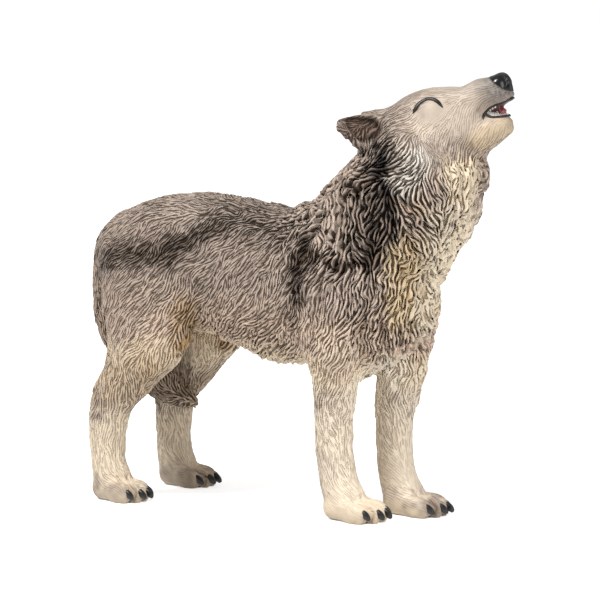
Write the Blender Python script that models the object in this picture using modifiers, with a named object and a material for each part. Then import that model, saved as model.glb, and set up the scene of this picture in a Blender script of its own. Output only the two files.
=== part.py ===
# Howling wolf figurine, moulded in one piece and standing on four flat soles.
# The wolf faces +X, its left is +Y and up is +Z. Sizes below are in millimetres.

import math

import bmesh
import bpy
import numpy as np
from mathutils import Matrix, Vector
from mathutils.kdtree import KDTree

MM = 0.001

# Trunk
TRUNK_LENGTH = 73.0
TRUNK_REAR_X = -39.4
BACK_HEIGHT = 59.5
CHEST_DEPTH = 30.5
CHEST_WIDTH = 22.0
HIP_WIDTH = 21.0

# Neck and its ruff of long hair
NECK_ROOT_X = 16.0
NECK_ROOT_DROP = 15.0
NECK_RISE = 31.0
NECK_REACH = 18.5
NECK_DEPTH = 27.0
NECK_WIDTH = 24.0

# Head
HEAD_LENGTH = 25.5
HEAD_WIDTH = 15.4
HEAD_PITCH = 26.0
HEAD_TURN = 17.0
HEAD_ASIDE = 2.0
EAR_LENGTH = 6.8
EAR_WIDTH = 5.8
EAR_THICKNESS = 2.4

# Legs: where each stands, and how thick it is
FORE_STANCE = 11.4
HIND_STANCE = 21.6
RIGHT_FORE_X = 18.0
LEFT_FORE_LEAD = 6.2
RIGHT_HIND_X = -32.3
LEFT_HIND_LEAD = 0.8
FORELEG_THICKNESS = 7.2
HINDLEG_THICKNESS = 7.0
THIGH_LENGTH = 19.0
HOCK_HEIGHT = 18.0
FORE_PAW_LENGTH = 12.6
FORE_PAW_WIDTH = 9.2
HIND_PAW_LENGTH = 11.6
HIND_PAW_WIDTH = 8.2
PAW_HEIGHT = 4.6
CLAW_LENGTH = 1.3

# Tail, hanging between the hind legs
TAIL_THICKNESS = 7.8
TAIL_DROP = 35.0

# Modelling fineness
VOXEL = 0.45
RING_POINTS = 32
RING_STEPS = 5
TRIANGLES = 11400


def clear_scene():
    for thing in list(bpy.data.objects):
        bpy.data.objects.remove(thing)


def collection(name):
    made = bpy.data.collections.new(name)
    bpy.context.scene.collection.children.link(made)
    return made


def catmull_rom(stations, steps):
    """Smooth in-between rows of a table of stations."""
    rows = np.array(stations, float)
    rows = np.vstack([2 * rows[0] - rows[1], rows, 2 * rows[-1] - rows[-2]])
    t = np.linspace(0, 1, steps, endpoint=False)[:, None]
    smooth = []
    for a, b, c, d in zip(rows[:-3], rows[1:-2], rows[2:-1], rows[3:]):
        smooth.append(0.5 * (2 * b + (c - a) * t + (2 * a - 5 * b + 4 * c - d) * t**2
                             + (3 * b - a - 3 * c + d) * t**3))
    return np.vstack(smooth + [rows[-2][None]])


def loft(name, stations, squareness=2.2, side=(0, 1, 0), place=Matrix()):
    """A closed skin through oval sections.

    Each station is x, y, z, half width, half height above and half height below.
    Above means towards the front on a leg, which runs downwards.
    """
    rows = catmull_rom(stations, RING_STEPS)
    centres = rows[:, :3]
    half = np.maximum(rows[:, 3:], 0.15)
    tangents = np.gradient(centres, axis=0)
    angles = np.arange(RING_POINTS) * 2 * math.pi / RING_POINTS
    across = np.sign(np.cos(angles)) * np.abs(np.cos(angles)) ** (2 / squareness)
    along = np.sign(np.sin(angles)) * np.abs(np.sin(angles)) ** (2 / squareness)
    bm = bmesh.new()
    rings = []
    for centre, tangent, (wide, above, below) in zip(centres, tangents, half):
        tangent = Vector(tangent).normalized()
        lateral = Vector(side) - Vector(side).dot(tangent) * tangent
        lateral.normalize()
        upward = tangent.cross(lateral)
        ring = []
        for a, u in zip(across, along):
            lift = above if u > 0 else below
            point = Vector(centre) + lateral * (a * wide) + upward * (u * lift)
            ring.append(bm.verts.new(place @ point * MM))
        rings.append(ring)
    for ring, following in zip(rings, rings[1:]):
        for i in range(RING_POINTS):
            j = (i + 1) % RING_POINTS
            bm.faces.new((ring[i], ring[j], following[j], following[i]))
    bm.faces.new(rings[0][::-1])
    bm.faces.new(rings[-1])
    bmesh.ops.recalc_face_normals(bm, faces=bm.faces)
    mesh = bpy.data.meshes.new(name)
    bm.to_mesh(mesh)
    bm.free()
    return bpy.data.objects.new(name, mesh)


def trunk():
    """Rump, loin, rib cage and shoulders, each station a share of the trunk's own sizes."""
    #         along  top   depth  width
    shape = [(0.006, -10.5, 0.16, 0.14, HIP_WIDTH),
             (0.035, -6.8, 0.42, 0.62, HIP_WIDTH),
             (0.095, -3.1, 0.65, 0.88, HIP_WIDTH),
             (0.180, -0.6, 0.80, 0.98, HIP_WIDTH),
             (0.290, 0.7, 0.86, 0.96, HIP_WIDTH),
             (0.400, 0.5, 0.87, 0.92, HIP_WIDTH),
             (0.500, -0.9, 0.90, 0.96, HIP_WIDTH),
             (0.600, -1.7, 0.94, 0.97, CHEST_WIDTH),
             (0.700, 0.2, 1.01, 1.03, CHEST_WIDTH),
             (0.800, 2.2, 1.06, 1.02, CHEST_WIDTH),
             (0.900, -1.0, 0.90, 0.90, CHEST_WIDTH),
             (0.970, -8.0, 0.56, 0.62, CHEST_WIDTH),
             (1.000, -12.5, 0.24, 0.24, CHEST_WIDTH)]
    stations = []
    for share, rise, deep, wide, width in shape:
        half = deep * CHEST_DEPTH / 2
        stations.append((TRUNK_REAR_X + share * TRUNK_LENGTH, 0, BACK_HEIGHT + rise - half,
                         wide * width / 2, half, half))
    return loft("trunk", stations, 2.3)


def neck_point(share_x, share_z, lean=0.0):
    """A point of the neck's axis, as shares of its reach and rise from the shoulders."""
    return (NECK_ROOT_X + share_x * NECK_REACH, lean,
            BACK_HEIGHT - NECK_ROOT_DROP + share_z * NECK_RISE)


def neck():
    """The ruff is deepest under the throat."""
    #         reach  rise  lean  width  nape  throat
    shape = [(-0.35, -0.42, 0.0, 0.62, 0.40, 0.40),
             (0.02, 0.00, 0.0, 0.94, 0.55, 0.70),
             (0.34, 0.32, 0.4, 1.00, 0.45, 0.58),
             (0.60, 0.60, 1.0, 1.02, 0.37, 0.60),
             (0.80, 0.80, 1.8, 0.98, 0.29, 0.57),
             (0.95, 0.91, 2.8, 0.84, 0.24, 0.46),
             (1.03, 0.97, 3.2, 0.44, 0.13, 0.22)]
    stations = [(*neck_point(reach, rise, lean), wide * NECK_WIDTH / 2,
                 nape * NECK_DEPTH, throat * NECK_DEPTH)
                for reach, rise, lean, wide, nape, throat in shape]
    return loft("neck", stations, 2.1)


def head_place():
    """From the head's own axes, with its origin between the ears, to the wolf's."""
    x, y, z = neck_point(0.49, 0.925, HEAD_ASIDE)
    turn = Matrix.Rotation(math.radians(HEAD_TURN), 4, "Z")
    pitch = Matrix.Rotation(math.radians(-HEAD_PITCH), 4, "Y")
    return Matrix.Translation((x, y, z)) @ turn @ pitch


def head_form(name, shape, squareness=2.2):
    """Stations along the head: share of length, lift, share of width, above and below."""
    stations = [(share * HEAD_LENGTH, 0, lift, wide * HEAD_WIDTH / 2, above, below)
                for share, lift, wide, above, below in shape]
    return loft(name, stations, squareness, place=head_place())


def head():
    """Skull, cheeks and the closed part of the face, one full cone as far as the lips."""
    return head_form("head", [(-0.21, -0.6, 0.52, 3.2, 4.6), (-0.11, -0.5, 0.86, 4.9, 6.8),
                              (0.02, 0.0, 1.00, 5.2, 8.2), (0.16, 0.0, 1.03, 5.5, 9.0),
                              (0.31, 0.0, 0.99, 5.8, 9.6), (0.46, 0.0, 0.88, 5.1, 9.9),
                              (0.56, 0.0, 0.76, 3.9, 9.9), (0.63, -0.4, 0.68, 2.9, 9.5),
                              (0.69, -1.0, 0.61, 3.4, 8.8), (0.745, -1.6, 0.56, 3.6, 7.8),
                              (0.775, -2.4, 0.46, 2.6, 5.6)], 2.6)


def muzzle():
    return head_form("muzzle", [(0.60, 0.0, 0.60, 2.2, 3.2), (0.69, 0.0, 0.57, 2.7, 3.7),
                                (0.78, 0.0, 0.54, 2.9, 3.6), (0.86, 0.0, 0.51, 2.6, 3.2),
                                (0.92, 0.0, 0.46, 2.5, 3.0), (0.955, 0.0, 0.41, 2.5, 2.9),
                                (0.980, 0.1, 0.34, 2.3, 2.7), (0.995, 0.2, 0.20, 1.8, 1.9)], 2.7)


def lower_jaw():
    return head_form("lower_jaw", [(0.58, -6.8, 0.58, 2.5, 3.6), (0.72, -6.9, 0.54, 2.4, 3.1),
                                   (0.80, -7.0, 0.50, 2.1, 2.6), (0.85, -7.2, 0.47, 1.4, 2.1),
                                   (0.885, -7.1, 0.40, 0.9, 1.6), (0.91, -7.0, 0.28, 0.6, 1.0),
                                   (0.925, -6.9, 0.14, 0.3, 0.5)], 2.7)


def mouth_core():
    """The floor of the open mouth, set back from the lips between the two jaws."""
    return head_form("mouth_core", [(0.60, -4.3, 0.34, 2.2, 2.2), (0.72, -4.3, 0.34, 2.1, 2.1),
                                    (0.82, -4.3, 0.32, 2.0, 2.0), (0.87, -4.4, 0.28, 1.8, 1.9),
                                    (0.895, -4.4, 0.16, 1.0, 1.2)])


def head_lump(name, share, y, lift, radii):
    """A rounded swelling such as a brow or a closed eyelid."""
    bm = bmesh.new()
    bmesh.ops.create_icosphere(bm, subdivisions=3, radius=1)
    size = Matrix.Diagonal((*radii, 1))
    place = head_place() @ Matrix.Translation((share * HEAD_LENGTH, y, lift)) @ size
    for vertex in bm.verts:
        vertex.co = (place @ vertex.co) * MM
    mesh = bpy.data.meshes.new(name)
    bm.to_mesh(mesh)
    bm.free()
    return bpy.data.objects.new(name, mesh)


def ear_place(hand):
    root = Vector((0.02 * HEAD_LENGTH, hand * 0.36 * HEAD_WIDTH, 2.6))
    back = Matrix.Rotation(math.radians(hand * -27), 4, "Z")
    tilt = Matrix.Rotation(math.radians(16), 4, "Y")
    return head_place() @ Matrix.Translation(root) @ back @ tilt


def ear(hand):
    """Laid back with its hollow to the side and its tip at the upper corner."""
    #         along  lift  width  thickness
    shape = [(0.30, -0.5, 0.36, 1.00), (0.0, -0.6, 0.54, 1.1), (-0.30, -0.5, 0.56, 1.0),
             (-0.60, -0.3, 0.52, 0.9), (-0.84, 0.0, 0.45, 0.8), (-0.97, 0.5, 0.32, 0.66),
             (-1.05, 1.1, 0.14, 0.36)]
    stations = [(share * EAR_LENGTH, 0, lift, thick * EAR_THICKNESS / 2, wide * EAR_WIDTH,
                 wide * EAR_WIDTH) for share, lift, wide, thick in shape]
    return loft(f"ear_{hand}", stations, 2.4, place=ear_place(hand))


def foreleg(hand):
    """Shoulder, forearm, wrist and pastern."""
    lead = 0 if hand < 0 else LEFT_FORE_LEAD
    x = RIGHT_FORE_X + lead
    y = hand * FORE_STANCE / 2
    chest = hand * CHEST_WIDTH / 2
    elbow = BACK_HEIGHT - CHEST_DEPTH
    thick = FORELEG_THICKNESS / 2
    stations = [(x + 1, chest * 0.50, elbow + 22, 3.0, 6.0, 6.0),
                (x + 0, chest * 0.66, elbow + 15, 4.4, 7.6, 8.0),
                (x - 0.2, chest * 0.68, elbow + 7, 4.6, 6.4, 6.6),
                (x + 0.0, y * 1.18, elbow + 0, 4.2, 4.9, 4.5),
                (x - 0.2, y * 1.10, elbow * 0.80, thick * 1.08, thick * 1.04, thick * 1.10),
                (x - 0.4, y * 1.04, elbow * 0.58, thick * 0.98, thick * 0.94, thick * 1.0),
                (x - 0.2, y, elbow * 0.36, thick * 0.92, thick * 1.02, thick * 0.98),
                (x + 0.6, y, elbow * 0.22, thick * 0.94, thick * 1.08, thick * 0.98),
                (x + 1.8, y, elbow * 0.11, thick * 1.04, thick * 1.2, thick * 1.0),
                (x + 2.6, y, elbow * 0.04, thick * 0.9, thick * 1.1, thick * 0.9)]
    return loft(f"foreleg_{hand}", stations)


def hindleg(hand):
    """Thigh, gaskin, hock and cannon."""
    lead = 0 if hand < 0 else LEFT_HIND_LEAD
    x = RIGHT_HIND_X + lead
    y = hand * HIND_STANCE / 2
    hip = hand * HIP_WIDTH / 2
    thick = HINDLEG_THICKNESS / 2
    belly = BACK_HEIGHT - THIGH_LENGTH
    stations = [(x + 7.5, hip * 0.50, belly + 12, 3.4, 5.6, 6.0),
                (x + 6.6, hip * 0.70, belly + 4, 4.4, 8.6, 8.8),
                (x + 7.6, hip * 0.80, belly - 3.5, 4.6, 10.2, 9.4),
                (x + 7.6, y * 0.88, belly - 8.0, 4.4, 9.8, 7.8),
                (x + 6.4, y * 0.92, belly - 12.0, 4.1, 7.2, 6.6),
                (x + 4.6, y * 0.95, belly - 16.5, 3.7, 4.8, 5.4),
                (x + 2.6, y * 0.98, HOCK_HEIGHT + 3.8, 3.5, 4.2, 4.6),
                (x + 0.5, y, HOCK_HEIGHT, thick, thick * 1.14, thick * 1.16),
                (x + 0.0, y, HOCK_HEIGHT * 0.66, thick * 0.92, thick * 1.0, thick * 0.96),
                (x + 0.2, y, HOCK_HEIGHT * 0.40, thick * 0.94, thick * 1.02, thick * 0.96),
                (x + 1.0, y, HOCK_HEIGHT * 0.20, thick * 1.02, thick * 1.16, thick * 0.98),
                (x + 1.6, y, HOCK_HEIGHT * 0.07, thick * 0.9, thick * 1.0, thick * 0.9)]
    return loft(f"hindleg_{hand}", stations)


def paw(name, heel_x, y, length, width, splay):
    """Metapodial pad and four toes with claws, toes towards +X."""
    made = []
    turn = Matrix.Translation((heel_x, y, 0)) @ Matrix.Rotation(math.radians(splay), 4, "Z")
    high = PAW_HEIGHT
    pad = [(0.00, 0.34, 0.26, 0.36, 0.30), (0.10, 0.40, 0.38, 0.64, 0.46),
           (0.34, 0.42, 0.46, 0.62, 0.50), (0.58, 0.42, 0.48, 0.48, 0.52),
           (0.76, 0.38, 0.46, 0.34, 0.50), (0.86, 0.34, 0.30, 0.18, 0.4)]
    stations = [(share * length, 0, centre * high, wide * width, above * high, below * high)
                for share, centre, wide, above, below in pad]
    made.append(loft(f"{name}_pad", stations, 2.3, place=turn))
    #        across  reach  width
    toes = [(-0.37, 0.86, 0.145), (-0.13, 1.0, 0.155), (0.13, 1.0, 0.155), (0.37, 0.86, 0.145)]
    for number, (across, reach, wide) in enumerate(toes):
        tip = reach * length
        at = across * width
        half = wide * width
        toe = [(tip - 0.50 * length, at * 0.86, 0.46 * high, half * 0.9, 0.36 * high, 0.4 * high),
               (tip - 0.30 * length, at, 0.46 * high, half * 1.12, 0.40 * high, 0.5 * high),
               (tip - 0.14 * length, at * 1.03, 0.40 * high, half * 1.16, 0.38 * high, 0.5 * high),
               (tip - 0.04 * length, at * 1.04, 0.34 * high, half * 0.95, 0.26 * high, 0.4 * high),
               (tip, at * 1.04, 0.32 * high, half * 0.4, 0.10 * high, 0.16 * high)]
        made.append(loft(f"{name}_toe_{number}", toe, 2.2, place=turn))
        claw = [(tip - 0.6, at * 1.04, 0.40 * high, 0.62, 0.60, 0.62),
                (tip + 0.35 * CLAW_LENGTH, at * 1.05, 0.36 * high, 0.56, 0.52, 0.60),
                (tip + 0.75 * CLAW_LENGTH, at * 1.05, 0.22 * high, 0.40, 0.34, 0.40),
                (tip + CLAW_LENGTH * 0.9, at * 1.05, 0.12 * high, 0.16, 0.16, 0.16)]
        made.append(loft(f"{name}_claw_{number}", claw, 2.0, place=turn))
    return made


def tail():
    """Down behind the rump, then forward between the hocks."""
    top = BACK_HEIGHT - 4.5
    rear = TRUNK_REAR_X + 0.9
    thick = TAIL_THICKNESS / 2
    #          x     y    fall  width
    shape = [(7.0, 0.0, 0.02, 0.7), (3.4, 0.0, 0.08, 0.9), (1.4, 0.0, 0.20, 0.95),
             (0.8, 0.0, 0.40, 1.0), (2.2, 0.3, 0.62, 1.10), (6.4, 1.0, 0.82, 1.14),
             (11.8, 1.6, 0.95, 0.96), (15.8, 2.0, 1.02, 0.6), (18.6, 2.2, 1.06, 0.2)]
    stations = [(rear + x, y, top - fall * TAIL_DROP, wide * thick * 0.85, wide * thick,
                 wide * thick) for x, y, fall, wide in shape]
    return loft("tail", stations, 2.0)


def base_forms():
    forms = [trunk(), neck(), head(), muzzle(), lower_jaw(), mouth_core(), tail(),
             head_lump("throat", 0.40, 0, -11.6, (4.9, 6.6, 5.4))]
    for hand in (-1, 1):
        fore_x = RIGHT_FORE_X + (LEFT_FORE_LEAD if hand > 0 else 0)
        hind_x = RIGHT_HIND_X + (LEFT_HIND_LEAD if hand > 0 else 0)
        forms += [ear(hand), foreleg(hand), hindleg(hand)]
        forms += [head_lump("eyelid", 0.415, hand * 0.385 * HEAD_WIDTH, 1.1, (2.6, 1.5, 2.0)),
                  head_lump("brow", 0.50, hand * 0.20 * HEAD_WIDTH, 2.6, (3.2, 2.2, 1.6))]
        forms += paw(f"fore_paw_{hand}", fore_x - 1.6, hand * FORE_STANCE / 2,
                     FORE_PAW_LENGTH, FORE_PAW_WIDTH, hand * 3)
        forms += paw(f"hind_paw_{hand}", hind_x - 2.2, hand * HIND_STANCE / 2,
                     HIND_PAW_LENGTH, HIND_PAW_WIDTH, hand * 3)
    return forms


def fused(name, forms, voxel):
    """One skin around all the forms."""
    bm = bmesh.new()
    for form in forms:
        bm.from_mesh(form.data)
    mesh = bpy.data.meshes.new(name)
    bm.to_mesh(mesh)
    bm.free()
    joined = bpy.data.objects.new(name, mesh)
    bpy.context.scene.collection.objects.link(joined)
    remesh = joined.modifiers.new("Remesh", "REMESH")
    remesh.mode = "VOXEL"
    remesh.voxel_size = voxel * MM
    bpy.context.view_layer.update()
    skin = bpy.data.meshes.new_from_object(joined.evaluated_get(bpy.context.evaluated_depsgraph_get()))
    bpy.data.objects.remove(joined)
    return skin


def edge_list(mesh):
    pairs = np.empty(len(mesh.edges) * 2, np.int64)
    mesh.edges.foreach_get("vertices", pairs)
    return pairs.reshape(-1, 2)


def coordinates(mesh):
    flat = np.empty(len(mesh.vertices) * 3)
    mesh.vertices.foreach_get("co", flat)
    return flat.reshape(-1, 3) / MM


def set_coordinates(mesh, points):
    mesh.vertices.foreach_set("co", (points * MM).ravel())
    mesh.update()


def normals(mesh):
    flat = np.empty(len(mesh.vertices) * 3)
    mesh.vertices.foreach_get("normal", flat)
    return flat.reshape(-1, 3)


def neighbour_mean(values, pairs, count):
    total = np.zeros((count, values.shape[1]))
    for axis in range(values.shape[1]):
        total[:, axis] = (np.bincount(pairs[:, 0], values[pairs[:, 1], axis], count)
                          + np.bincount(pairs[:, 1], values[pairs[:, 0], axis], count))
    degree = np.bincount(pairs.ravel(), minlength=count)
    return total / degree[:, None]


def blend(mesh, fills, passes):
    """Fill the creases where forms meet, then ease the whole skin."""
    pairs = edge_list(mesh)
    points = coordinates(mesh)
    count = len(points)
    fine = fineness(points)[:, None]
    for turn in range(fills):
        if turn % 5 == 0:
            set_coordinates(mesh, points)
            outward = normals(mesh)
        move = neighbour_mean(points, pairs, count) - points
        rise = np.einsum("ij,ij->i", move, outward)[:, None]
        points += np.where(rise > 0, 1.0, 0.12) * move * (1 - fine)
    for turn in range(passes):
        points += (neighbour_mean(points, pairs, count) - points) * 0.5
    set_coordinates(mesh, points)


def fineness(points):
    """1 on paws, ears and mouth, where small forms stay crisp, and 0 on the body."""
    local = points @ np.array(head_place().inverted().to_3x3()).T
    local += np.array(head_place().inverted().translation)
    paws = np.clip((7.5 - points[:, 2]) / 2.5, 0, 1)
    face = np.clip((local[:, 0] - 0.62 * HEAD_LENGTH) / 3, 0, 1) * (points[:, 2] > BACK_HEIGHT)
    ears = np.zeros(len(points))
    for hand in (-1, 1):
        middle = np.array(ear_place(hand) @ Vector((-0.45 * EAR_LENGTH, 0, 0)))
        ears = np.maximum(ears, np.clip((7.0 - np.linalg.norm(points - middle, axis=1)) / 2, 0, 1))
    return np.maximum.reduce([paws, face * 0.96, ears * 0.95])


# The coat. Each row is a place on the right side and the lie of the hair there:
# share of trunk length from the rump, distance out, share of back height,
# then the hair's direction along, out and up, and how long the locks are.
LIE = [(0.04, 2, 0.94, -1.0, 0.0, -0.40, 0.35), (0.26, 2, 1.01, -1.0, 0.0, 0.00, 0.35),
       (0.53, 2, 1.00, -1.0, 0.0, 0.02, 0.42), (0.70, 2, 1.04, -0.9, 0.0, -0.30, 0.62),
       (0.15, 9, 0.84, -0.80, 0.0, -0.60, 0.36), (0.33, 9, 0.84, -0.75, 0.0, -0.65, 0.38),
       (0.53, 10, 0.84, -0.70, 0.0, -0.70, 0.42), (0.40, 10, 0.70, -0.66, 0.0, -0.75, 0.42),
       (0.60, 10, 0.70, -0.60, 0.0, -0.80, 0.46), (0.40, 6, 0.55, -0.45, 0.0, -0.85, 0.60),
       (0.60, 7, 0.51, -0.36, 0.0, -0.90, 0.62), (0.07, 9, 0.81, -0.60, 0.0, -0.80, 0.35),
       (0.13, 9, 0.64, -0.55, 0.0, -0.85, 0.34), (0.24, 10, 0.60, -0.45, 0.0, -0.88, 0.44),
       (0.19, 10, 0.46, -0.25, 0.0, -1.00, 0.36), (0.09, 11, 0.31, -0.10, 0.0, -1.00, 0.30),
       (0.11, 11, 0.15, 0.05, 0.0, -1.00, 0.24), (0.15, 11, 0.04, 0.90, 0.0, -0.30, 0.12),
       (0.73, 9, 0.84, -0.45, 0.0, -0.90, 0.50), (0.79, 9, 0.71, -0.28, 0.0, -0.95, 0.48),
       (0.87, 8, 0.71, -0.08, 0.0, -1.00, 0.62), (0.73, 8, 0.52, -0.45, 0.0, -0.88, 0.48),
       (0.77, 6, 0.37, 0.00, 0.0, -1.00, 0.32), (0.78, 6, 0.17, 0.08, 0.0, -1.00, 0.24),
       (0.83, 6, 0.04, 0.90, 0.0, -0.30, 0.12), (0.91, 5, 0.04, 0.90, 0.0, -0.30, 0.12),
       (0.73, 4, 1.08, -0.75, 0.0, -0.65, 0.90), (0.81, 4, 1.19, -0.75, 0.0, -0.65, 0.90),
       (0.78, 10, 1.01, -0.55, 0.0, -0.85, 1.00), (0.89, 12, 1.04, -0.10, 0.0, -1.00, 1.00),
       (0.89, 12, 0.92, -0.12, 0.0, -1.00, 1.00), (1.02, 8, 1.04, 0.30, 0.0, -0.95, 0.90),
       (1.02, 4, 0.81, 0.12, 0.0, -1.00, 0.85), (0.97, 4, 0.64, -0.10, 0.0, -1.00, 0.70),
       (1.13, 4, 1.12, 0.15, 0.0, -1.00, 0.80), (0.88, 2, 1.33, -0.85, -0.2, -0.45, 0.26),
       (0.95, 2, 1.37, -0.86, -0.2, -0.45, 0.14), (1.11, 3, 1.42, -0.88, -0.2, -0.43, 0.06),
       (1.00, 5, 1.28, -0.70, -0.1, -0.75, 0.22), (0.90, 8, 1.19, -0.40, 0.0, -0.90, 0.62),
       (1.12, 4, 1.27, -0.60, 0.0, -0.80, 0.12), (0.79, 6, 1.29, -0.95, 0.0, 0.10, 0.16),
       (0.02, 0, 0.76, 0.00, 0.0, -1.00, 0.60), (0.03, 0, 0.54, 0.12, 0.0, -1.00, 0.60),
       (0.12, 0, 0.37, 0.80, 0.0, -0.60, 0.50), (0.24, 0, 0.30, 0.90, 0.0, -0.42, 0.50)]


def hashed(cells, salt):
    """A repeatable number from 0 to 1 for each whole-number cell."""
    a = cells.astype(np.int64)
    mixed = (a[:, 0] * 73856093) ^ (a[:, 1] * 19349663) ^ (a[:, 2] * 83492791) ^ (salt * 2654435)
    mixed = (mixed ^ (mixed >> 13)) * 1274126177
    return ((mixed ^ (mixed >> 16)) & 0xFFFFFF) / float(0xFFFFFF)


def soft_noise(points, size, salt):
    """Smooth noise from -1 to 1 with features of the given size."""
    scaled = points / size
    low = np.floor(scaled)
    part = scaled - low
    part = part * part * (3 - 2 * part)
    total = np.zeros(len(points))
    for corner in np.ndindex(2, 2, 2):
        weight = np.prod(np.where(np.array(corner), part, 1 - part), axis=1)
        total += weight * hashed(low + np.array(corner), salt)
    return total * 2 - 1


def lie_of_coat(points, outward):
    """Direction of the hair along the skin, and the length of its locks."""
    table = np.array(LIE)
    anchors = np.stack([TRUNK_REAR_X + table[:, 0] * TRUNK_LENGTH, table[:, 1],
                        table[:, 2] * BACK_HEIGHT], axis=1)
    folded = points * (1, 0, 1) + np.abs(points) * (0, 1, 0)
    weights = np.zeros((len(points), len(table)))
    for k, anchor in enumerate(anchors):
        weights[:, k] = 1 / (np.sum((folded - anchor) ** 2, axis=1) + 3) ** 2
    weights /= weights.sum(axis=1)[:, None]
    direction = weights @ table[:, 3:6]
    length = weights @ table[:, 6]
    direction -= outward * np.sum(direction * outward, axis=1)[:, None]
    direction /= np.linalg.norm(direction, axis=1)[:, None] + 1e-9
    sideways = np.cross(outward, direction)
    swirl = soft_noise(points, 6.0, 5) * (0.2 + 0.5 * length)
    direction = direction * np.cos(swirl)[:, None] + sideways * np.sin(swirl)[:, None]
    return direction, length


def roots(points, spacing, salt):
    """Well spread points of the skin from which locks start."""
    cells = np.unique(np.floor(points / spacing), axis=0)
    spread = np.stack([hashed(cells, salt + axis) for axis in range(3)], axis=1)
    wanted = (cells + spread) * spacing
    tree = KDTree(len(points))
    for index, point in enumerate(points):
        tree.insert(point, index)
    tree.balance()
    found = [tree.find(place) for place in wanted]
    return [index for _, index, away in found if away < 0.62 * spacing], tree


def raise_locks(points, outward, layers, salt):
    """Height of the carved coat at each point, from overlapping pointed locks.

    A layer is the spacing of its locks, the coat lengths it serves from and to,
    and the length, width and height of a lock.
    """
    direction, coat = lie_of_coat(points, outward)
    height = np.zeros(len(points))
    for spacing, low, high, length, width, lift in layers:
        starts, tree = roots(points, spacing, salt)
        salt += 7
        chance = hashed(np.floor(points[starts] * 50), salt)
        for start, luck in zip(starts, chance):
            fuzzy = coat[start] + 0.12 * (luck - 0.5)
            if not low <= fuzzy < high:
                continue
            reach = length * (0.8 + 0.4 * luck)
            bend = (luck * 7.3 % 1 - 0.5) * 1.1
            spine = lock_spine(points, outward, direction, tree, start, reach, bend)
            near = sorted({hit[1] for place in spine for hit in tree.find_range(place, width * 0.8)})
            if len(near) < 3:
                continue
            near = np.array(near)
            rise = lock_rise(points[near], spine, width, lift * (0.7 + 0.6 * (luck * 3.7 % 1)))
            facing = outward[near] @ outward[start] > 0.1
            height[near] = np.maximum(height[near], rise * facing)
    return height


def lock_spine(points, outward, direction, tree, start, reach, bend):
    """Centre line of a lock, following the lie of the coat in a shallow curve."""
    steps = 6
    spine = [points[start]]
    here = start
    for step in range(steps):
        turn = bend * (step / (steps - 1) - 0.5)
        heading = direction[here] * math.cos(turn)
        heading = heading + np.cross(outward[here], direction[here]) * math.sin(turn)
        target = spine[-1] + heading * reach / steps
        _, here, _ = tree.find(target)
        lifted = np.dot(target - points[here], outward[here])
        spine.append(target - outward[here] * lifted)
    return np.array(spine)


def lock_rise(places, spine, width, lift):
    """Rounded across, rising from the root to a pointed tip."""
    best = np.full(len(places), 9.0)
    along = np.zeros(len(places))
    for k, (a, b) in enumerate(zip(spine, spine[1:])):
        span = b - a
        share = np.clip((places - a) @ span / (span @ span + 1e-9), 0, 1)
        away = np.linalg.norm(places - a - share[:, None] * span, axis=1)
        closer = away < best
        best = np.where(closer, away, best)
        along = np.where(closer, (k + share) / (len(spine) - 1), along)
    half = width / 2 * np.clip(0.55 + 1.1 * along, 0, 1) * np.clip((1.04 - along) * 2.4, 0, 1) ** 0.7
    across = np.clip(1 - (best / np.maximum(half, 1e-6)) ** 2, 0, 1)
    return lift * across ** 0.6 * np.clip(0.45 + 0.8 * along, 0, 1)


# Spacing, shortest and longest coat served, then lock length, width and height
LOCKS = [(2.6, 0.56, 2.0, 8.5, 3.0, 1.0),
         (2.8, 0.33, 0.56, 8.0, 3.0, 0.50),
         (2.4, 0.20, 0.33, 5.5, 2.4, 0.30)]


def carve_coat(mesh):
    points = coordinates(mesh)
    outward = normals(mesh)
    height = raise_locks(points, outward, LOCKS, 11)
    _, coat = lie_of_coat(points, outward)
    furred = np.clip((coat - 0.16) / 0.1, 0, 1)
    middle = np.interp(coat, [0.2, 0.33, 0.56, 0.8], [0.17, 0.26, 0.36, 0.78])
    set_coordinates(mesh, points + outward * ((height - middle) * furred)[:, None])


def within(points, place):
    """The same points seen in the axes of a place."""
    inverse = np.array(place.inverted())
    return points @ inverse[:3, :3].T + inverse[:3, 3]


def hollow_ears(mesh):
    points = coordinates(mesh)
    outward = normals(mesh)
    for hand in (-1, 1):
        place = ear_place(hand)
        local = within(points, place)
        aside = np.array(place.to_3x3() @ Vector((0, hand, 0)))
        reach = np.hypot((local[:, 0] / EAR_LENGTH + 0.46) / 0.46,
                         (local[:, 2] / EAR_WIDTH + 0.06) / 0.40)
        open_side = (outward @ aside > 0.15) & (np.abs(local[:, 1]) < EAR_THICKNESS)
        depth = 0.55 * EAR_THICKNESS * np.clip(1 - reach**2, 0, 1) ** 0.6
        points -= aside * (depth * open_side)[:, None]
    set_coordinates(mesh, points)


def nostrils(mesh):
    points = coordinates(mesh)
    outward = normals(mesh)
    for hand in (-1, 1):
        spot = np.array(head_place() @ Vector((0.97 * HEAD_LENGTH, hand * 1.5, -0.1)))
        away = np.linalg.norm(points - spot, axis=1)
        points -= outward * (0.6 * np.clip(1 - (away / 1.1) ** 2, 0, 1))[:, None]
    set_coordinates(mesh, points)


def closed_eyes(mesh):
    """A groove along each shut lid, arched upwards."""
    points = coordinates(mesh)
    outward = normals(mesh)
    for hand in (-1, 1):
        local = within(points, head_place())
        arch = 2.6 - 0.30 * (local[:, 0] - 0.43 * HEAD_LENGTH) ** 2
        along = np.abs(local[:, 0] - 0.42 * HEAD_LENGTH) / 2.7
        side = (local[:, 1] * hand > 0.2 * HEAD_WIDTH) & (along < 1)
        line = np.clip(1 - np.abs(local[:, 2] - arch) / 0.8, 0, 1) * side
        points -= outward * (0.45 * line)[:, None]
    set_coordinates(mesh, points)


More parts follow.
